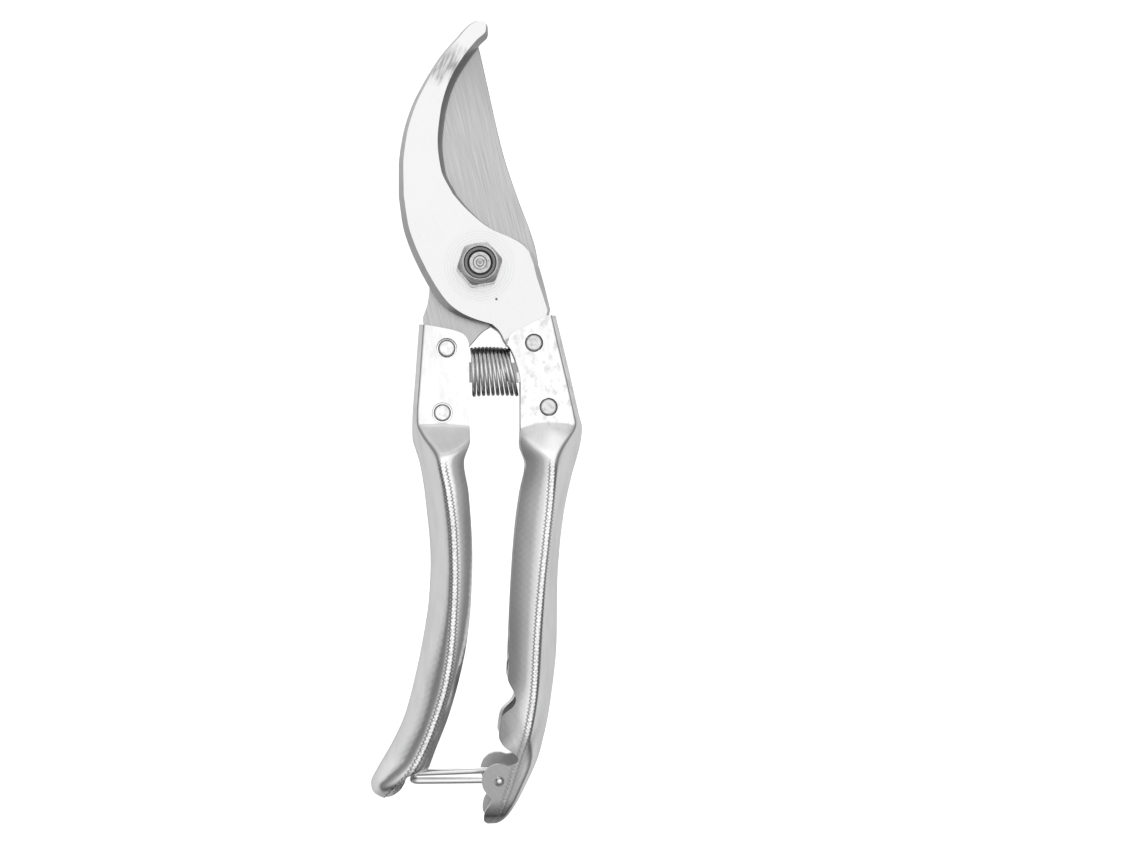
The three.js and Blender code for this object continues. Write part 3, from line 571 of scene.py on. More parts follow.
# %% Plates with sloping edges


def open_edges(faces):
    """The edges that only one face uses, in the direction in which that face uses them."""
    sides = np.concatenate([faces[:, [k, (k + 1) % 4]] for k in range(4)])
    key = np.sort(sides, axis=1)
    _, first, count = np.unique(key, axis=0, return_index=True, return_counts=True)
    return sides[first[count == 1]]


def punch(points, faces, centre, radius):
    """Drops the faces inside a circle on the plan, and moves the points round the gap out or
    in to the circle, which makes the hole round."""
    plan = points[:, :2] - np.array(centre)
    away = np.hypot(*plan.T)
    inside = np.hypot(*plan[faces].mean(axis=1).T) < radius
    kept = faces[~inside]
    on_rim = np.intersect1d(faces[inside], kept)
    points[on_rim, :2] = np.array(centre) + plan[on_rim] * (radius / away[on_rim])[:, None]
    return kept


def ribbon(left, right, left_inset, right_inset, middle=26):
    """A plate's plan, and how far each point lies from the left and from the right outline.
    Each side has columns on the outline, halfway across its bevel and at the bevel's end."""
    across = right - left
    width = np.hypot(*across.T)[:, None]
    steps = np.array([[0, 0.5, 1.0]])
    room = np.minimum(1, 0.9 * width / (left_inset + right_inset)[:, None])
    near, far = room * left_inset[:, None] * steps, room * right_inset[:, None] * steps
    share = np.linspace(0, 1, middle + 2)[None, 1:-1]
    centre = near[:, -1:] * (1 - share) + (width - far[:, -1:]) * share
    distance = np.concatenate([near, centre, (width - far)[:, ::-1]], axis=1)
    plan = left[:, None] + across[:, None] * (distance / width)[..., None]
    return plan, distance, width - distance


def slope(distance, inset, drop):
    """How much a face has sunk at a distance from an outline: `drop` at the outline, and
    nothing from `inset` on."""
    return drop[:, None] * np.clip(1 - distance / inset[:, None], 0, 1)


def plate(plan, top, bottom, holes):
    """A closed plate: an upper and a lower face over one plan, and walls between their open
    edges, all round and in each (x, y, radius) hole."""
    faces = grid_faces(*plan.shape[:2])
    upper = np.concatenate([plan, top[..., None]], axis=2).reshape(-1, 3)
    lower = np.concatenate([plan, bottom[..., None]], axis=2).reshape(-1, 3)
    for x, y, radius in holes:
        before = faces
        faces = punch(upper, before, (x, y), radius)
        punch(lower, before, (x, y), radius)
    edges = open_edges(faces)
    walls = np.concatenate([edges[:, ::-1], edges + len(upper)], axis=1)
    every = np.concatenate([faces, faces[:, ::-1] + len(upper), walls])
    return np.concatenate([upper, lower]), every


def by_row(points, pairs):
    """The value of a line through (y, value) pairs at each row's left point."""
    return line_through(pairs)(points[:, 1])


def soft_edges(piece, width=0.09, segments=2, angle=28):
    """Takes the sharpness off a piece's edges, as grinding and handling do."""
    bevel = piece.modifiers.new("worn edges", "BEVEL")
    bevel.width, bevel.segments, bevel.limit_method = width * MM, segments, "ANGLE"
    bevel.angle_limit = math.radians(angle)
    bevel.use_clamp_overlap, bevel.harden_normals = True, True


REACH = box_mm("counter_blade")[1][1]
DRAWN_REACH = 60.6
ROWS = 320


def ahead(points):
    """Outline points, of which those ahead of the pivot follow the blades' reach."""
    return [(x, y * REACH / DRAWN_REACH if y > 0 else y) for x, y in points]


def outline(*stretches):
    """Rows of points along several stretches, each with its share of all rows."""
    counts = [round(ROWS * share) for share, _ in stretches]
    lines = [curve_through(points, n + 1, 0.3) for n, (_, points) in zip(counts, stretches)]
    return np.concatenate([line[:-1] for line in lines[:-1]] + [lines[-1]])


print("reach", round(REACH, 2))

# %% [markdown]
# The hook bears the branch. Its outer edge has a low chamfer, and its inner edge is ground back
# steeply over nearly its whole thickness. Both slopes get darker copies of the steel, as painted
# shade, which draws a dark line along the jaw.

# %% The hook
hook_low, hook_high = (corner[2] for corner in box_mm("counter_blade"))
HOOK_RIVETS = [(13.4, -19.0), (17.0, -34.8)]
BLADE_RIVETS = [(-8.0, -20.2), (-9.1, -36.2)]
PIN_HOLE = 2.45
outer = outline(
    (0.43, ahead([(1.3, 60.5), (-0.3, 60.6), (-2.1, 59.9), (-5.6, 56.3), (-9.6, 51.6),
                  (-13.5, 45.4), (-16.7, 39), (-18.9, 31.6), (-19.8, 24), (-19.8, 17)])),
    (0.17, ahead([(-19.8, 17), (-18.8, 9.9), (-16.9, 4), (-14.3, -1.6)])),
    (0.17, [(-14.3, -1.6), (-11.8, -5.9), (-8.9, -9.7), (-5.6, -12), (-1.8, -13.5), (2.3, -14.6)]),
    (0.23, [(2.3, -14.6), (4.9, -16.5), (6.1, -18.8), (8.6, -21.4), (9.6, -23.6), (6.9, -24.1),
            (6.6, -26.2), (6.9, -28.4), (10.9, -28.9), (10.9, -39.2)]),
)
inner = outline(
    (0.43, ahead([(1.3, 60.5), (2.1, 59.3), (2.2, 57.6), (0.2, 55.2), (-2.9, 51), (-5.6, 46.5),
                  (-7.3, 42.2), (-8.4, 37.6), (-9.1, 30.4), (-8.3, 23.6), (-5.5, 17.8)])),
    (0.17, ahead([(-5.5, 17.8), (-1.9, 13.6), (3.2, 9.2), (8.4, 6.9), (10.8, 5.5), (13, 3.6)])),
    (0.17, [(13, 3.6), (14.6, 0.5), (16.2, -4.9), (17.1, -8.6), (17.6, -10.6)]),
    (0.23, [(17.6, -10.6), (17.2, -13), (17.4, -15.5), (18.6, -20), (20.4, -27.2), (23.1, -39.2)]),
)
inner[0] = inner[0] * 0.5 + inner[1] * 0.5
chamfer = by_row(outer, [(60, 0.5), (40, 0.9), (-9, 1.5), (-14, 1.0), (-16.5, 0.3)])
chamfer_drop = by_row(outer, [(60, 1.0), (-9, 1.6), (-14, 1.2), (-16.5, 0.2)])
jaw = by_row(inner, [(60, 0.4), (56, 0.9), (50, 1.2), (17, 1.1), (9, 0.5), (6, 0.35), (2, 1.0), (-2, 1.4), (-8, 1.0),
                     (-11, 0.8)])
jaw_drop = by_row(inner, [(60, 1.2), (55, 3.2), (50, 3.5), (17, 3.5), (9, 2.2), (6, 0.6), (2, 1.2),
                          (-2, 1.5), (-11, 1.2)])
plan, from_outer, from_inner = ribbon(outer, inner, chamfer, jaw)
top = hook_high - slope(from_outer, chamfer, chamfer_drop) - slope(from_inner, jaw, jaw_drop)
holes = [(0, 0, 4.3), *[(x, y, PIN_HOLE) for x, y in HOOK_RIVETS]]
points, faces = plate(plan, top, np.full_like(top, hook_low), holes)
hook = piece_from(weld(mesh_from("hook_blade", points, faces)), "hook_blade", "hook_side",
                  "counter_blade", [HOOK_STEEL, CHAMFER_PAINTED_SHADE, JAW_PAINTED_SHADE])
centres = np.empty(len(hook.data.polygons) * 3, np.float32)
normals = centres.copy()
hook.data.polygons.foreach_get("center", centres)
hook.data.polygons.foreach_get("normal", normals)
place = (centres.reshape(-1, 3) - PIVOT) / MM
# Sloping faces get the darker steels, as painted shade: the jaw's on the steep inner faces, the chamfer's on the
# others. The nub below y = -22 mm gets the jaw's dark steel all over.
sloped = normals.reshape(-1, 3)[:, 2] < 0.9
in_jaw = sloped & (normals.reshape(-1, 3)[:, 0] > 0.02) & (place[:, 1] > 7)
in_jaw |= (place[:, 1] < -22) & (place[:, 0] < 9.4)
hook.data.polygons.foreach_set("material_index", np.where(in_jaw, 2, sloped).astype(np.int32))
soft_edges(hook)

# %% [markdown]
# The cutting blade is flat where it slides under the hook. Underneath, its edge is hollow
# ground: the face rises to the edge on a curve, as the round of a grinding wheel leaves it.

# %% The cutting blade
blade_low, blade_high = (corner[2] for corner in box_mm("cutting_blade"))
EDGE_LAND = 0.3
cutting_edge = outline(
    (0.45, ahead([(-0.9, 57), (-3.9, 52.8), (-8.6, 45), (-12.3, 36), (-14.3, 26), (-14.6, 16),
                  (-14, 10)])),
    (0.25, ahead([(-14, 10), (-13.6, 7.6), (-13.2, -1), (-12.3, -5.4), (-12.7, -8.8), (-13.9, -12.4)])),
    (0.3, [(-13.9, -12.4), (-13.9, -13.6), (-12.6, -15.4), (-12.9, -21), (-13.4, -27.2), (-14.2, -39.2)]),
)
back_edge = outline(
    (0.45, ahead([(-0.7, 57), (0, 54.5), (1.6, 47.5), (5.9, 28.8), (9.2, 18.6), (12.4, 10.2)])),
    (0.25, ahead([(12.4, 10.2), (14.2, 4.3), (14.8, 0), (13.4, -6.2), (10.5, -10.4), (6.8, -13.1),
                  (3.6, -14.4)])),
    (0.3, [(3.6, -14.4), (1, -16), (-1.2, -18.4), (-2.7, -20.4), (-3.2, -23.2), (-0.4, -24.1),
           (0.5, -26.2), (-0.4, -28.3), (-3.2, -28.9), (-3.1, -39.2)]),
)
hollow = by_row(cutting_edge, [(57, 0.3), (48, 2.0), (36, 2.6), (16, 1.6), (7.6, 0.4), (-1, 0.3)])
hollow_drop = by_row(cutting_edge, [(57, 2.9), (16, 2.9), (7.6, 2.9), (0, 0.5), (-12, 0.4)])
spine = np.full(len(back_edge), 0.15)
plan, from_edge, from_back = ribbon(cutting_edge, back_edge, hollow, spine)
top = blade_high - slope(from_back, spine, spine * 0.8)
bottom = blade_low + slope(from_edge, hollow, hollow_drop)
bottom = np.minimum(bottom, top - EDGE_LAND)
holes = [(0, 0, 4.3), *[(x, y, PIN_HOLE) for x, y in BLADE_RIVETS]]
points, faces = plate(plan, top, bottom, holes)
blade = piece_from(weld(mesh_from("cutting_edge_blade", points, faces)), "cutting_edge_blade",
                   "blade_side", "cutting_blade", [BLADE_STEEL])
soft_edges(blade, 0.07)

# %% [markdown]
# ## Handles
# Each handle is one sheet, pressed to a channel that is open towards the other handle. Over
# the tang it is folded flat, and behind that it swells to a grip with a crest. Five lines say
# how it runs: the folded back, the crest and the open edge on the plan, and the half thickness
# at the crest and at the open edge. From the back to the crest the section is part of a
# superellipse, a rounded form whose one power makes it lean or boxy. From the crest to the open
# edge it falls as a power of the share of the way. The flat is what is left when that form is
# pressed down to a lower height, and its end is a slanted facet that runs up to the crest.

# %% A handle's surface
FLAT_END = -40.0
GRIP_RUN = 91.6
SHEET = 1.2
FULL_DEPTH = 8.0
OPEN_LIP = 4.4
CREST_START = -47.8
CREST_LAND = 0.25


def run_line(flat, grip, soften=1.2):
    """A line along a handle, from pairs over shares of its flat and of its grip."""
    pairs = [(FLAT_END * share, value) for share, value in flat]
    pairs += [(FLAT_END - GRIP_RUN * share, value) for share, value in grip]
    return line_through(pairs, soften)


def press_height(y, across, shape):
    """The height the form is pressed down to: the folded height on the flat, and from the
    flat's end a straight ramp up to the crest. The end is an arch, highest at its middle."""
    end = FLAT_END + 0.9 + shape["arch"] * (0.5 - across**2)
    ramp = shape["folded"] + (FULL_DEPTH + 0.4 - shape["folded"]) * (end - y) / (end - CREST_START)
    return soft_min(-shape["folded"], -ramp, 0.12) * -1


def handle_surface(shape, columns=(20, 16)):
    """Points of the outer skin, row by row from the flat's end to the tip. A row goes over the
    upper half from the open edge by the crest to the back, and returns below."""
    side, tip = shape["side"], shape["tip"]
    rows = np.arange(shape["top"], tip, -0.6)
    rows = np.r_[rows, np.linspace(rows[-1], tip, 9)[1:]][:, None]
    ridge, back = shape["ridge"](rows), shape["back"](rows)
    # from the back to the crest: a superellipse quarter, by its angle
    power = shape["square"](rows)
    angle = np.linspace(0, math.pi / 2, columns[0])[None]
    size = (np.cos(angle) ** power + np.sin(angle) ** power) ** (-1 / power)
    outer_x = ridge + side * np.abs(ridge - back) * np.cos(angle) * size
    outer_h = shape["depth"](rows) * np.sin(angle) * size
    outer_y = np.broadcast_to(rows, outer_x.shape)
    # from the crest to the open edge: straight rows, each ending at its own edge point
    turn = np.linspace(0, math.pi / 2, columns[1] + 1)[None, 1:]
    share = np.sin(turn)
    edge_x, edge_y = shape["edge_x"](rows), shape["edge_y"](rows)
    flank_x = ridge + (edge_x - ridge) * share
    flank_y = rows + (edge_y - rows) * share
    ridge_there, edge_there = shape["ridge"](flank_y), shape["edge"](flank_y)
    across = np.clip(np.abs(flank_x - ridge_there) / np.abs(edge_there - ridge_there), 0, 1)
    depth_there = shape["depth"](flank_y)
    lip = np.minimum(shape["lip"](flank_y), 0.98 * depth_there)
    flank_h = lip + (depth_there - lip) * (1 - across ** shape["fullness"])
    x = np.concatenate([outer_x, flank_x], axis=1)
    y = np.concatenate([outer_y, flank_y], axis=1)
    half = np.concatenate([outer_h, flank_h], axis=1)
    # the upper end is cut slanting, so the rows near it follow the cut
    cut = shape["cut"](np.broadcast_to(x[:1], x.shape)) - shape["top"]
    fade = np.clip((rows - shape["top"] + 12) / 12, 0, 1) ** 2
    y = y + cut * fade
    across_flat = np.where(x * side > ridge * side, (x - ridge) / (back - ridge), (x - ridge) / (edge_x - ridge))
    pressed = press_height(y, across_flat, shape)
    # a narrow land runs along the crest
    crest = shape["depth"](y)
    half = soft_min(half * (1 + CREST_LAND / FULL_DEPTH), crest, 0.35)
    half = soft_min(half, pressed, 0.4)
    half[:, 0] = 0
    half[-1] = 0
    x[-1], y[-1] = ridge[-1], tip
    middle = shape["middle"](y)
    upper = np.stack([x, y, middle + half], axis=-1)[:, ::-1]
    lower = np.stack([x, y, middle - half], axis=-1)[:, 1:]
    from_crest = (x - ridge) * side
    map_points = np.stack([from_crest, y], axis=-1)
    skin = np.concatenate([upper, lower], axis=1)
    return skin, np.concatenate([map_points[:, ::-1], map_points[:, 1:]], axis=1)


def handle(name, shape, holes, body, node):
    """A handle: its skin with its holes, thickened inwards, with softened rims."""
    grid, map_points = handle_surface(shape)
    points, faces = grid.reshape(-1, 3).copy(), grid_faces(*grid.shape[:2])
    for x, y, radius in holes:
        faces = punch(points, faces, (x, y), radius)
    if shape["side"] > 0:
        faces = faces[:, ::-1]
    mesh = mesh_from(name, points, faces)
    uv = mesh.uv_layers.new(name="sheet")
    uv.data.foreach_set("uv", map_points.reshape(-1, 2)[faces.ravel()].astype(np.float32).ravel())
    weld(mesh, outwards=False)
    piece = piece_from(mesh, name, body, node,
                       [HANDLE_PLATE, INSIDE_PLATE, RIM_STEEL], angle=40)
    y = np.empty(len(mesh.vertices) * 3, np.float32)
    mesh.vertices.foreach_get("co", y)
    y = (y.reshape(-1, 3)[:, 1] - PIVOT[1]) / MM
    thin = piece.vertex_groups.new(name="sheet")
    weight = np.clip((y - shape["tip"]) / 6, 0.12, 1)
    for level in np.unique(weight.round(2)):
        thin.add(np.flatnonzero(weight.round(2) == level).tolist(), float(level), "REPLACE")
    wall = piece.modifiers.new("sheet", "SOLIDIFY")
    wall.thickness, wall.offset = SHEET * MM, -1.0
    wall.vertex_group = "sheet"
    wall.material_offset, wall.material_offset_rim = 1, 2
    soft_edges(piece, 0.14, 2, 50)
    return piece


# %% [markdown]
# The blade's handle ends in a rounded bulb, notched on its inner side, where the catch's
# crossbar sits.

# %% The blade's handle
blade_edge = run_line(
    [(0.325, -2.5), (1, -2.3)],
    [(0.033, -2.2), (0.091, -3.8), (0.176, -2.6), (0.35, -1.7), (0.455, -2), (0.567, -3),
     (0.671, -4.9), (0.777, -7.7), (0.855, -10.5), (0.918, -12.8), (0.95, -16.8), (0.98, -20),
     (1, -23.2)])
notch = [
    (-118.3, -10.5, -118.3), (-121.5, -11.7, -121.5), (-123.4, -12.5, -123.5),
    (-124.2, -13.2, -124.15), (-125, -16.5, -124.8), (-125.7, -17.7, -125.3),
    (-126.8, -18.3, -126.8), (-128.6, -19.4, -128.8), (-130.2, -21.5, -130.6),
    (-131.6, -23.6, -131.6)]
above_notch = np.arange(-12.0, -117.0, -1.5)
BLADE_HANDLE = {
    "side": -1, "top": -14.0, "tip": FLAT_END - GRIP_RUN, "folded": 3.1, "arch": 0.5, "fullness": 1.6,
    "back": run_line(
        [(0.325, -14.8), (0.675, -15.8), (1, -16.6)],
        [(0.03, -16.5), (0.06, -15.7), (0.095, -14.7), (0.19, -13.3), (0.365, -12), (0.46, -12.4),
         (0.57, -13.9), (0.675, -15.9), (0.78, -18.5), (0.86, -21.9), (0.923, -25.3),
         (0.96, -26.8), (0.984, -26.3), (1, -24)], 0.8),
    "ridge": run_line(
        [(0.325, -7.6), (0.505, -8), (0.905, -9.1), (1, -9.3)],
        [(0.085, -9.4), (0.17, -8), (0.285, -6.7), (0.39, -6.4), (0.565, -7.1), (0.67, -8.4),
         (0.8, -12), (0.91, -16.7), (0.97, -21.4), (1, -23.6)]),
    "edge": blade_edge,
    "edge_x": line_through([(y, float(blade_edge(y))) for y in above_notch]
                           + [(row, x) for row, x, _ in notch]),
    "edge_y": line_through([(y, y) for y in above_notch] + [(row, y) for row, _, y in notch]),
    "middle": run_line([(1, -1.75)], [(0.093, -1)], 2.0),
    "depth": run_line([(1, FULL_DEPTH)], [(0.9, 8), (0.95, 6.9), (0.98, 4.8), (0.994, 2.9), (1, 0.6)], 0.5),
    "lip": run_line([(1, OPEN_LIP)], [(0.07, 5.6), (1, 5.6)], 0),
    "square": run_line([(0.9, 1.5), (1, 1.4)], [(0.06, 1.2), (0.88, 1.25), (0.97, 1.9)], 0),
    "cut": line_through([(-19, -13.6), (-14.7, -14.2), (-6.9, -15.6), (-4.6, -16.3), (-3.6, -16.9),
                         (-2.9, -17.9), (-2.3, -19.6)]),
}
handle("blade_grip", BLADE_HANDLE, [(x, y, 2.55) for x, y in BLADE_RIVETS], "blade_side", "blade_handle")

# %% [markdown]
# The hook's handle is boxy near its end, where its two walls stand up as ears with a hole for
# the catch. Above the ears its edge is cut to a rest, a lobe and a throat, in which the catch
# lies when it isn't in use.

# %% The hook's handle
hook_edge = run_line(
    [(0.4, 6.6), (0.46, 7.3), (0.585, 8.9), (0.71, 10.1), (1, 10.1)],
    [(0.045, 10), (0.099, 11.5), (0.172, 10.2), (0.246, 9.2), (0.328, 8.5), (0.43, 7.9), (0.57, 7.3),
     (0.672, 6.9), (0.742, 5), (0.8, 4), (0.83, 2.8), (0.873, -0.2), (0.97, -0.4), (1.03, 0.4),
     (1.07, 2.5)])
ears = [
    (-92, 7.3, -92), (-96.5, 7.15, -96.5), (-101.2, 6.9, -101.4), (-104.2, 8.3, -104.6),
    (-106.2, 8.9, -106.5), (-108, 8.3, -108), (-110.8, 5.6, -110.6), (-112.3, 5.1, -112.1),
    (-115.2, 4.7, -115.5), (-117, 5.6, -117.4), (-118.9, 7.9, -119.1), (-120, 9.1, -120),
    (-121, 9.5, -121.1), (-121.9, 8.7, -122.1), (-122.8, 6.9, -122.4), (-123.2, 6.68, -122.24),
    (-123.9, 4.8, -121.8), (-124.7, 2.65, -122.38), (-125.6, 1.08, -123.95), (-126.9, 0.5, -126.1),
    (-128, 0.76, -127.57), (-129.3, 1.81, -129.19), (-130.6, 2.9, -130.6), (-134, 1.2, -134),
    (-135.9, 1.0, -135.9), (-137, 1.6, -137), (-138, 2.5, -138)]
above_ears = np.arange(-12.0, -91.0, -1.5)
HOOK_HANDLE = {
    "side": 1, "top": -12.0, "tip": FLAT_END - 1.07 * GRIP_RUN, "folded": 3.5, "arch": 1.8, "fullness": 1.5,
    "back": run_line(
        [(0.3, 19), (0.662, 22.5), (0.915, 24.8), (1, 25.6)],
        [(0.04, 25.2), (0.136, 22.9), (0.23, 21.1), (0.33, 20), (0.416, 19.5), (0.576, 19.3),
         (0.7375, 17.8), (0.862, 15.5), (0.9525, 11.9), (1.027, 8.1), (1.06, 5.4), (1.07, 3.3)], 0.8),
    "ridge": run_line(
        [(0.3, 12.4), (0.475, 13.4), (0.87, 17), (1, 17.8)],
        [(0.077, 18.2), (0.174, 17.8), (0.295, 16.7), (0.407, 15.6), (0.564, 14.4), (0.697, 13.7),
         (0.803, 12.2), (0.8826, 9.8), (0.96, 7.5), (1.03, 5), (1.07, 2.9)]),
    "edge": hook_edge,
    "edge_x": line_through([(y, float(hook_edge(y))) for y in above_ears]
                           + [(row, x) for row, x, _ in ears]),
    "edge_y": line_through([(y, y) for y in above_ears] + [(row, y) for row, _, y in ears]),
    "middle": run_line([(1, 2.15)], [(0.093, 1)], 2.0),
    "depth": run_line([(1, FULL_DEPTH)], [(0.99, 8), (1.03, 7.2), (1.055, 5), (1.066, 2.8), (1.07, 0.6)], 0.4),
    "lip": run_line([(1, OPEN_LIP)], [(0.8, OPEN_LIP), (0.9, 7.9), (1.06, 7.9)], 0.5),
    "square": run_line([(0.9, 1.5), (1, 1.4)], [(0.06, 1.2), (0.82, 1.25), (0.93, 3.0), (1.07, 3)], 0),
    "cut": line_through([(6.9, -19.6), (7.2, -17.9), (8.1, -16.6), (10.9, -15.2), (14.7, -13.2),
                         (17.2, -12.2), (21, -12.1)]),
}
HOLE = 2.25
handle("hook_grip", HOOK_HANDLE, [*[(x, y, HOLE) for x, y in HOOK_RIVETS], (EAR[0], EAR[1], 1.25)],
       "hook_side", "hook_handle")

# %% [markdown]
# ## Fasteners
# The rivets were set by a press that left a ring of rounded metal round a nearly flat head.
# Those of the blade's handle have sunk a little into their holes.

# %% Rivets


def rivet(name, node, centre, body):
    """A pin with two rounded heads, as high as its CAD node."""
    low, high = box_mm(node)
    x, y = centre
    radius = (high[0] - low[0]) / 2
    bottom, top = low[2], high[2]
    crown = 0.12
    profile = rounded([
        (0, bottom + crown), (radius - 0.5, bottom), (radius, bottom + 0.4), (radius, top - 0.4),
        (radius - 0.4, top), (0, top - crown),
    ], 0.3)
    points, faces = turned(profile, centre)
    light = 0.84 if body == "blade_side" else 0.68
    material = turned_metal(name + "_steel", light, light - 0.16, x, y, 0.5, depth=0.006)
    return piece_from(weld(mesh_from(name, points, faces)), name, body, node, [material])


for number, (rivets, owner, body) in enumerate([(HOOK_RIVETS, "hook", "hook_side"),
                                                (BLADE_RIVETS, "blade", "blade_side")]):
    for place, centre in zip(("upper", "lower"), rivets):
        rivet(f"{owner}_side_rivet_{place}", f"{owner}_rivet_{place}", centre, body)

# %% [markdown]
# The nut is a hexagon whose corners were turned down on a lathe, with a round collar on it
# that holds a nylon ring. Its section is one closed profile carried round the axis, where the
# outer points follow a hexagon: at an angle from a flat's middle, a hexagon's radius is the
# distance to the flat over the cosine of that angle.

# %% Nut and locking ring
nut_low, nut_high = box_mm("pivot_nut")
NUT_TURN = math.radians(11)
FLAT = 5.0
CORNER = FLAT / math.cos(math.pi / 6)
HEX_TOP = nut_high[2] - 2.0
BORE = 3.2
COLLAR = 4.35
SEAT = 3.9


def nut_surface(sides=144):
    """A ring of sections. `reach` of 1 at a section's point means the hexagon's radius, and 0
    means the radius that the profile gives. A cone at each end takes the corners down:
    the radius is never more than the flat's plus 1.73 times the distance from the end."""
    z0, z1 = nut_low[2], HEX_TOP
    heights = np.r_[z0, np.linspace(z0 + 0.02, z0 + 0.8, 8), np.linspace(z1 - 0.8, z1 - 0.02, 8), z1]
    inside = [(BORE, 0, z0 + 0.3), (BORE + 0.3, 0, z0), (FLAT - 0.2, 0, z0)]
    hexagon = [(CORNER, 1, z) for z in heights]
    lip = rounded([(COLLAR + 0.5, z1 + 0.02), (COLLAR + 0.05, z1 + 0.25), (COLLAR, nut_high[2] - 0.5),
                   (COLLAR - 0.22, nut_high[2]), (SEAT, nut_high[2] - 0.12), (SEAT, z1 + 0.05),
                   (BORE, z1)], 0.25, 4)
    profile = inside + hexagon + [(radius, 0, z) for radius, z in lip]
    radius, reach, z = np.array(profile + [(BORE, 0, z1 - 0.4)]).T[..., None]
    angle = np.linspace(0, 2 * math.pi, sides, endpoint=False)[None]
    from_flat = (angle - NUT_TURN) % (math.pi / 3) - math.pi / 6
    hexagon_radius = FLAT / np.cos(from_flat)
    cone = np.minimum(FLAT + 0.12 + 1.73 * (z - z0), COLLAR + 0.12 + 1.3 * (z1 - z))
    outer = -soft_min(-0.0, -soft_min(hexagon_radius, cone, 0.06), 0.0)
    r = np.where(reach > 0, outer, radius)
    points = np.stack([r * np.cos(angle), r * np.sin(angle), z + 0 * r], axis=-1)
    return points.reshape(-1, 3), grid_faces(len(radius), sides, True, True)


nut = piece_from(weld(mesh_from("lock_nut", *nut_surface())), "lock_nut", "blade_side", "pivot_nut",
                 [NUT_STEEL], angle=30)
soft_edges(nut, 0.06)
ring_low, ring_high = (corner[2] for corner in box_mm("nut_insert"))
ring_inner, ring_outer = 3.05, 3.75
section = rounded([
    ((ring_inner + ring_outer) / 2, ring_low), (ring_outer, ring_low), (ring_outer, ring_high),
    (ring_inner, ring_high), (ring_inner, ring_low), ((ring_inner + ring_outer) / 2, ring_low),
], 0.2)
piece_from(weld(mesh_from("nylon_ring", *turned(section))), "nylon_ring", "blade_side", "nut_insert",
           [INSERT_NYLON])

# %% [markdown]
# The bolt comes up through both blades from a low domed head. Its end was faced on a lathe,
# which left rings and a small nib in the middle.

# %% Bolt
bolt_low, bolt_high = box_mm("pivot_bolt")
HEAD = (bolt_high[0] - bolt_low[0]) / 2
FACE = blade_low - 0.3
THREAD = 2.9
SHANK = 4.0
dome_angle = np.linspace(-math.pi / 2, 0, 14)
dome = np.stack([HEAD * np.cos(dome_angle), bolt_low[2] + (FACE - 0.66 - bolt_low[2]) * (1 + np.sin(dome_angle))], axis=1)
top = bolt_high[2]
end = rounded([(THREAD, top - 0.5), (THREAD - 0.35, top), (1.75, top - 0.05), (1.55, top - 0.3),
               (0.95, top - 0.3), (0.75, top - 0.12), (0.35, top - 0.16), (0.2, top + 0.0), (0, top)], 0.12)
thread_z = np.arange(hook_high + 0.2, top - 0.9, 0.1)
ridges = THREAD - 0.16 + 0.16 * np.cos(thread_z * 2 * math.pi)
profile = np.concatenate([
    dome, rounded([(HEAD, FACE - 0.66), (HEAD, FACE), (SHANK, FACE)], 0.3),
    [(SHANK, FACE), (SHANK - 0.02, hook_high - 0.1), (THREAD, hook_high)],
    np.stack([ridges, thread_z], axis=1), end,
])
bolt = piece_from(weld(mesh_from("pivot_bolt_turned", *turned(profile, sides=96))), "pivot_bolt_turned",
                  "blade_side", "pivot_bolt", [BOLT_STEEL])
print("nut", FLAT * 2, "mm across its flats")

# %% [markdown]
# ## Wires
# The spring is close-wound, from the edge of one handle to the edge of the other. The second
# handle leans, so the coils lean more and more towards it, and the axis bends with them. When
# the handles open, each ring of the wire has to move whole, or the wire would be crushed, so
# every ring gets one share of the joint's movement.

# %% Return spring
spring_low, spring_high = box_mm("return_spring")
WIRE = 0.46
COIL = 5.75
TURNS = 10
LEAN = 0.23
coil_start = np.array([spring_low[0] + WIRE - 0.25, (spring_low[1] + spring_high[1]) / 2, 0.0])
coil_end_x = spring_high[0] - WIRE - COIL * math.sin(LEAN) + 0.75


def coil_path(count):
    """Points of the coil: a circle whose centre runs along a bent axis, and whose plane leans
    from upright to LEAN. The share t runs from 0 to 1."""
    t = np.linspace(0, 1, count)
    lean = LEAN * t
    centre_x = coil_start[0] + (coil_end_x - coil_start[0]) * np.sin(lean) / math.sin(LEAN)
    sag = (coil_end_x - coil_start[0]) / LEAN * (np.cos(lean) - 1 + t * (1 - math.cos(LEAN)))
    turn = t * TURNS * 2 * math.pi
    across = COIL * np.cos(turn)
    x = centre_x - across * np.sin(lean)
    y = coil_start[1] + sag + across * np.cos(lean)
    z = COIL * np.sin(turn)
    outward = np.stack([-np.cos(turn) * np.sin(lean), np.cos(turn) * np.cos(lean), np.sin(turn)], axis=1)
    return np.stack([x, y, z], axis=1), outward, t


path, outward, along = coil_path(TURNS * 48)
spring_sides = 10
rings = tube(path, outward, WIRE, spring_sides)
mesh = closed_wire("coil_spring", rings, path)
spring = piece_from(mesh, "coil_spring", None, "return_spring", [SPRING_STEEL], 180)
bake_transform(spring, "blade_side", "hook_side",
         tuple(PIVOT + coil_start * MM), tuple(PIVOT + np.array([coil_end_x, coil_start[1], 0]) * MM))
share = spring.data.attributes["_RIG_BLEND"]
share.data.foreach_set("value", np.r_[np.repeat(along, spring_sides), 0, 1].astype(np.float32))
print("spring", TURNS, "turns")

# %% [markdown]
# The catch is one bright wire: from an ear's hole along a leg, across, and back along the
# other leg. A bend in wire is round, so each corner of its path becomes an arc.

# %% Wire catch
CATCH_WIRE = 0.8
BAR_X = -16.5


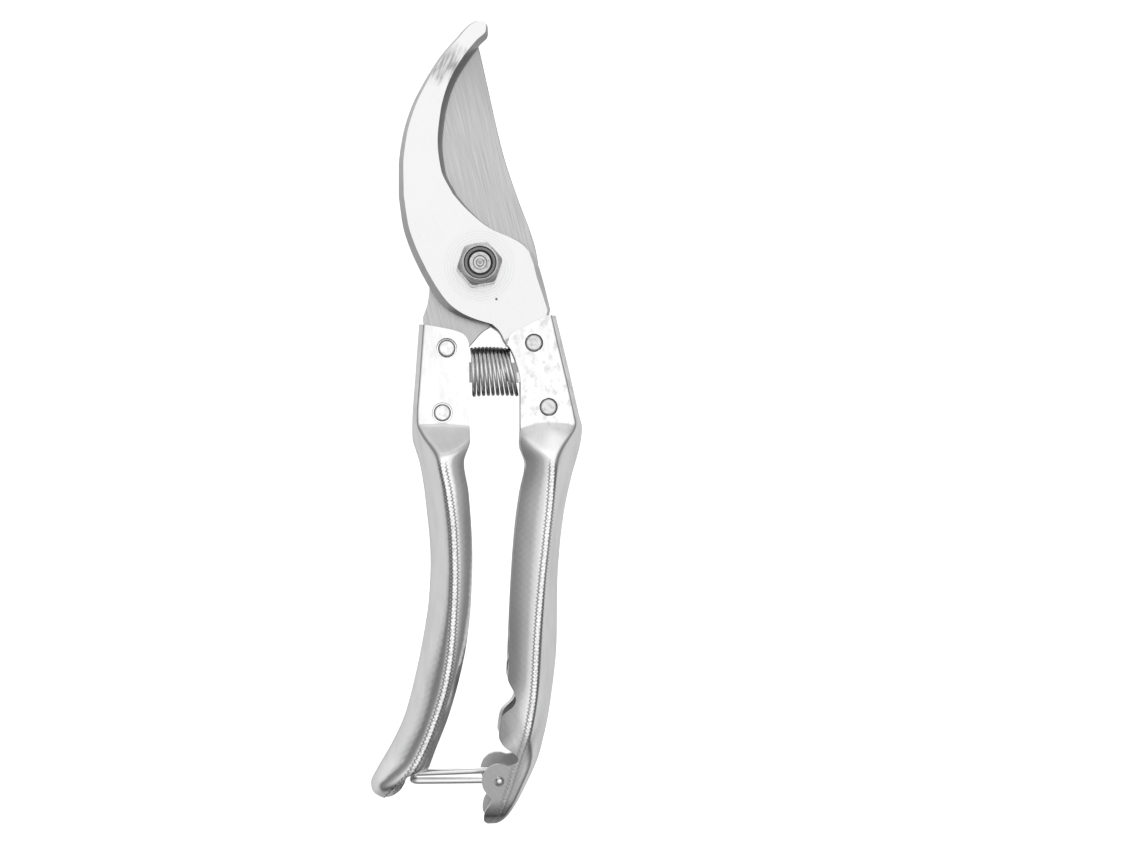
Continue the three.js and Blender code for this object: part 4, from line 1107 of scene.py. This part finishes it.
def bent(corners, radii, steps=14):
    """A path through corners whose bends are drawn as smooth curves, each leaving one leg and
    meeting the next at `radius` from the corner."""
    t = np.linspace(0, 1, steps)[:, None]
    pieces = [corners[:1]]
    for before, corner, after, radius in zip(corners, corners[1:], corners[2:], radii):
        start = corner + (before - corner) / np.linalg.norm(before - corner) * radius
        end = corner + (after - corner) / np.linalg.norm(after - corner) * radius
        pieces.append(start * (1 - t) ** 2 + 2 * corner * t * (1 - t) + end * t**2)
    return np.concatenate([*pieces, corners[-1:]])


mid_z = EAR[2] if abs(EAR[2]) < 3 else 1.0
half = np.array([
    (EAR[0], 0, 8.1), (EAR[0], 0, 5.75), (-5.5, -0.15, 5.1), (BAR_X + 0.3, -0.2, 4.45),
    (BAR_X, -0.08, 0),
])
corners = np.concatenate([half[:-1], half[-2::-1] * (1, 1, -1)])
corners = corners + (0, EAR[1], mid_z)
path = bent(corners, [1.3, 4.0, 1.5, 1.5, 4.0, 1.3])
run = np.r_[0, np.linalg.norm(np.diff(path, axis=0), axis=1).cumsum()]
even = np.linspace(0, run[-1], 260)
path = np.stack([np.interp(even, run, path[:, axis]) for axis in range(3)], axis=1)
from_end = np.minimum(even, run[-1] - even)
thick = CATCH_WIRE - 0.25 * (1 - from_end / 0.3).clip(0) ** 2
catch_sides = 20
rings = tube(path, np.array([[0.0, 1.0, 0.0]]), thick, catch_sides)
mesh = closed_wire("catch_wire", rings, path)
loops = np.empty(len(mesh.loops), np.int32)
mesh.loops.foreach_get("vertex_index", loops)
around = np.r_[np.tile(np.arange(catch_sides) / catch_sides, len(path)), 0, 0][loops]
lengthwise = np.r_[np.repeat(even / 10, catch_sides), 0, run[-1] / 10][loops]
quads = around[:4 * catch_sides * (len(path) - 1)].reshape(-1, 4)
crosses_seam = (quads.max(1) - quads.min(1) > 0.5)[:, None] & (quads < 0.5)
around[:quads.size] = (quads + crosses_seam).ravel()
uv = mesh.uv_layers.new(name="wire")
uv.data.foreach_set("uv", np.stack([around, lengthwise], axis=1).astype(np.float32).ravel())
piece_from(mesh, "catch_wire", "catch", "wire_catch", [CATCH_STEEL], 180)

# %% [markdown]
# ## Light, floor and camera
# Bright metal shows what it mirrors, so most of the lighting is a room: light above, darker
# towards the horizon and below. The flat faces look straight up and mirror the bright ceiling,
# and the sloping ones fall off to grey, which is what draws the handles' shape. A broad area
# light adds a soft shadow.

# %% Room
world = bpy.data.worlds.new("soft_room")
bpy.context.scene.world = world
world.use_nodes = True
room = world.node_tree
room.nodes.clear()
HEIGHTS = [(0.0, 0.66), (0.42, 0.76), (0.5, 0.55), (0.56, 0.21), (0.68, 0.27), (0.82, 0.48), (0.915, 0.82),
           (0.98, 1.02)]
SIDES = [(0.02, 0.55), (0.32, 0.95), (0.55, 1.0), (0.8, 1.2), (0.97, 2.4)]


def room_node(kind, *inputs, **settings):
    """A node of the room's light, with its settings, and its inputs in order."""
    made = room.nodes.new("ShaderNode" + kind)
    for setting, value in settings.items():
        setattr(made, setting, value)
    for socket, value in zip(made.inputs, inputs):
        if isinstance(value, bpy.types.NodeSocket):
            room.links.new(value, socket)
        else:
            socket.default_value = value
    return made


def room_ramp(value, stops):
    """A grey that follows the stops as a value goes from -1 to 1."""
    share = room_node("MapRange", value, -1.0, 1.0, 0.0, 1.0)
    ramp = room_node("ValToRGB", share.outputs[0]).color_ramp
    ramp.interpolation = "EASE"
    while len(ramp.elements) < len(stops):
        ramp.elements.new(0.5)
    for stop, (place, level) in zip(ramp.elements, stops):
        stop.position, stop.color = place, (level, level, level, 1)
    return room.nodes[-1].outputs[0]


direction = room_node("SeparateXYZ", room_node("TexCoord").outputs["Generated"])
by_height = room_ramp(direction.outputs["Z"], HEIGHTS)
by_side = room_ramp(direction.outputs["Y"], SIDES)
background = room_node("Background", by_height, by_side)
room_node("OutputWorld", background.outputs[0])

# %% Floor
FLOOR = 1.6
across = np.linspace(-FLOOR, FLOOR, 9)
x, y = np.meshgrid(across, across)
floor_points = (np.stack([x, y, 0 * x - PIVOT[2]], axis=-1) / MM).reshape(-1, 3)
floor_points[:, 2] = -PIVOT[2] / MM
floor_mesh = mesh_from("floor", floor_points, grid_faces(9, 9))
paper = Finish("pale_paper")
fibres = paper.noise((3.0, 3.0, 3.0), detail=3.0)
light_box = {"Emission Color": (1.0, 1.0, 1.0, 1.0), "Emission Strength": 0.85}
PAPER = paper.metal(paper.mix(fibres, grey(0.74), grey(0.78)), 0.9, Metallic=0.0, **light_box)
floor_mesh.materials.append(PAPER)
floor = bpy.data.objects.new("floor", floor_mesh)
bpy.context.scene.collection.objects.link(floor)
floor.visible_glossy = False

# %% Lights


def lamp(name, place, target, size, power):
    """A square area light at `place`, facing `target`, in millimetres from the pivot."""
    light = bpy.data.lights.new(name, "AREA")
    light.shape, light.size, light.energy = "SQUARE", size, power
    piece = bpy.data.objects.new(name, light)
    bpy.context.scene.collection.objects.link(piece)
    start, end = Vector(place) * MM, Vector(target) * MM
    turn = (end - start).to_track_quat("-Z", "Y").to_matrix().to_4x4()
    piece.matrix_world = Matrix.Translation(Vector(PIVOT) + start) @ turn
    return piece


lamp("overhead", (150, 120, 900), (0, -40, 0), 0.9, 0.6)

# %% [markdown]
# The camera looks down from almost straight above, leaning a little to the side, as somebody
# does who stands at a table.

# %% Camera
FOCUS = 50.53
LEAN_SIDE = math.radians(4.5)
DISTANCE = 400.0
AIM = Vector((22.72, -39.85, 0.0))
lens = bpy.data.cameras.new("camera")
lens.sensor_width, lens.lens, lens.clip_start = 36.0, FOCUS, 0.01
camera = bpy.data.objects.new("camera", lens)
bpy.context.scene.collection.objects.link(camera)
right = Vector((math.cos(LEAN_SIDE), 0, math.sin(LEAN_SIDE)))
toward = Vector((-math.sin(LEAN_SIDE), 0, math.cos(LEAN_SIDE)))
turn = Matrix((right, Vector((0, 1, 0)), toward)).transposed().to_4x4()
camera.matrix_world = Matrix.Translation(Vector(PIVOT) + (AIM + toward * DISTANCE) * MM) @ turn
bpy.context.scene.camera = camera
bpy.context.scene.view_settings.view_transform = "Standard"
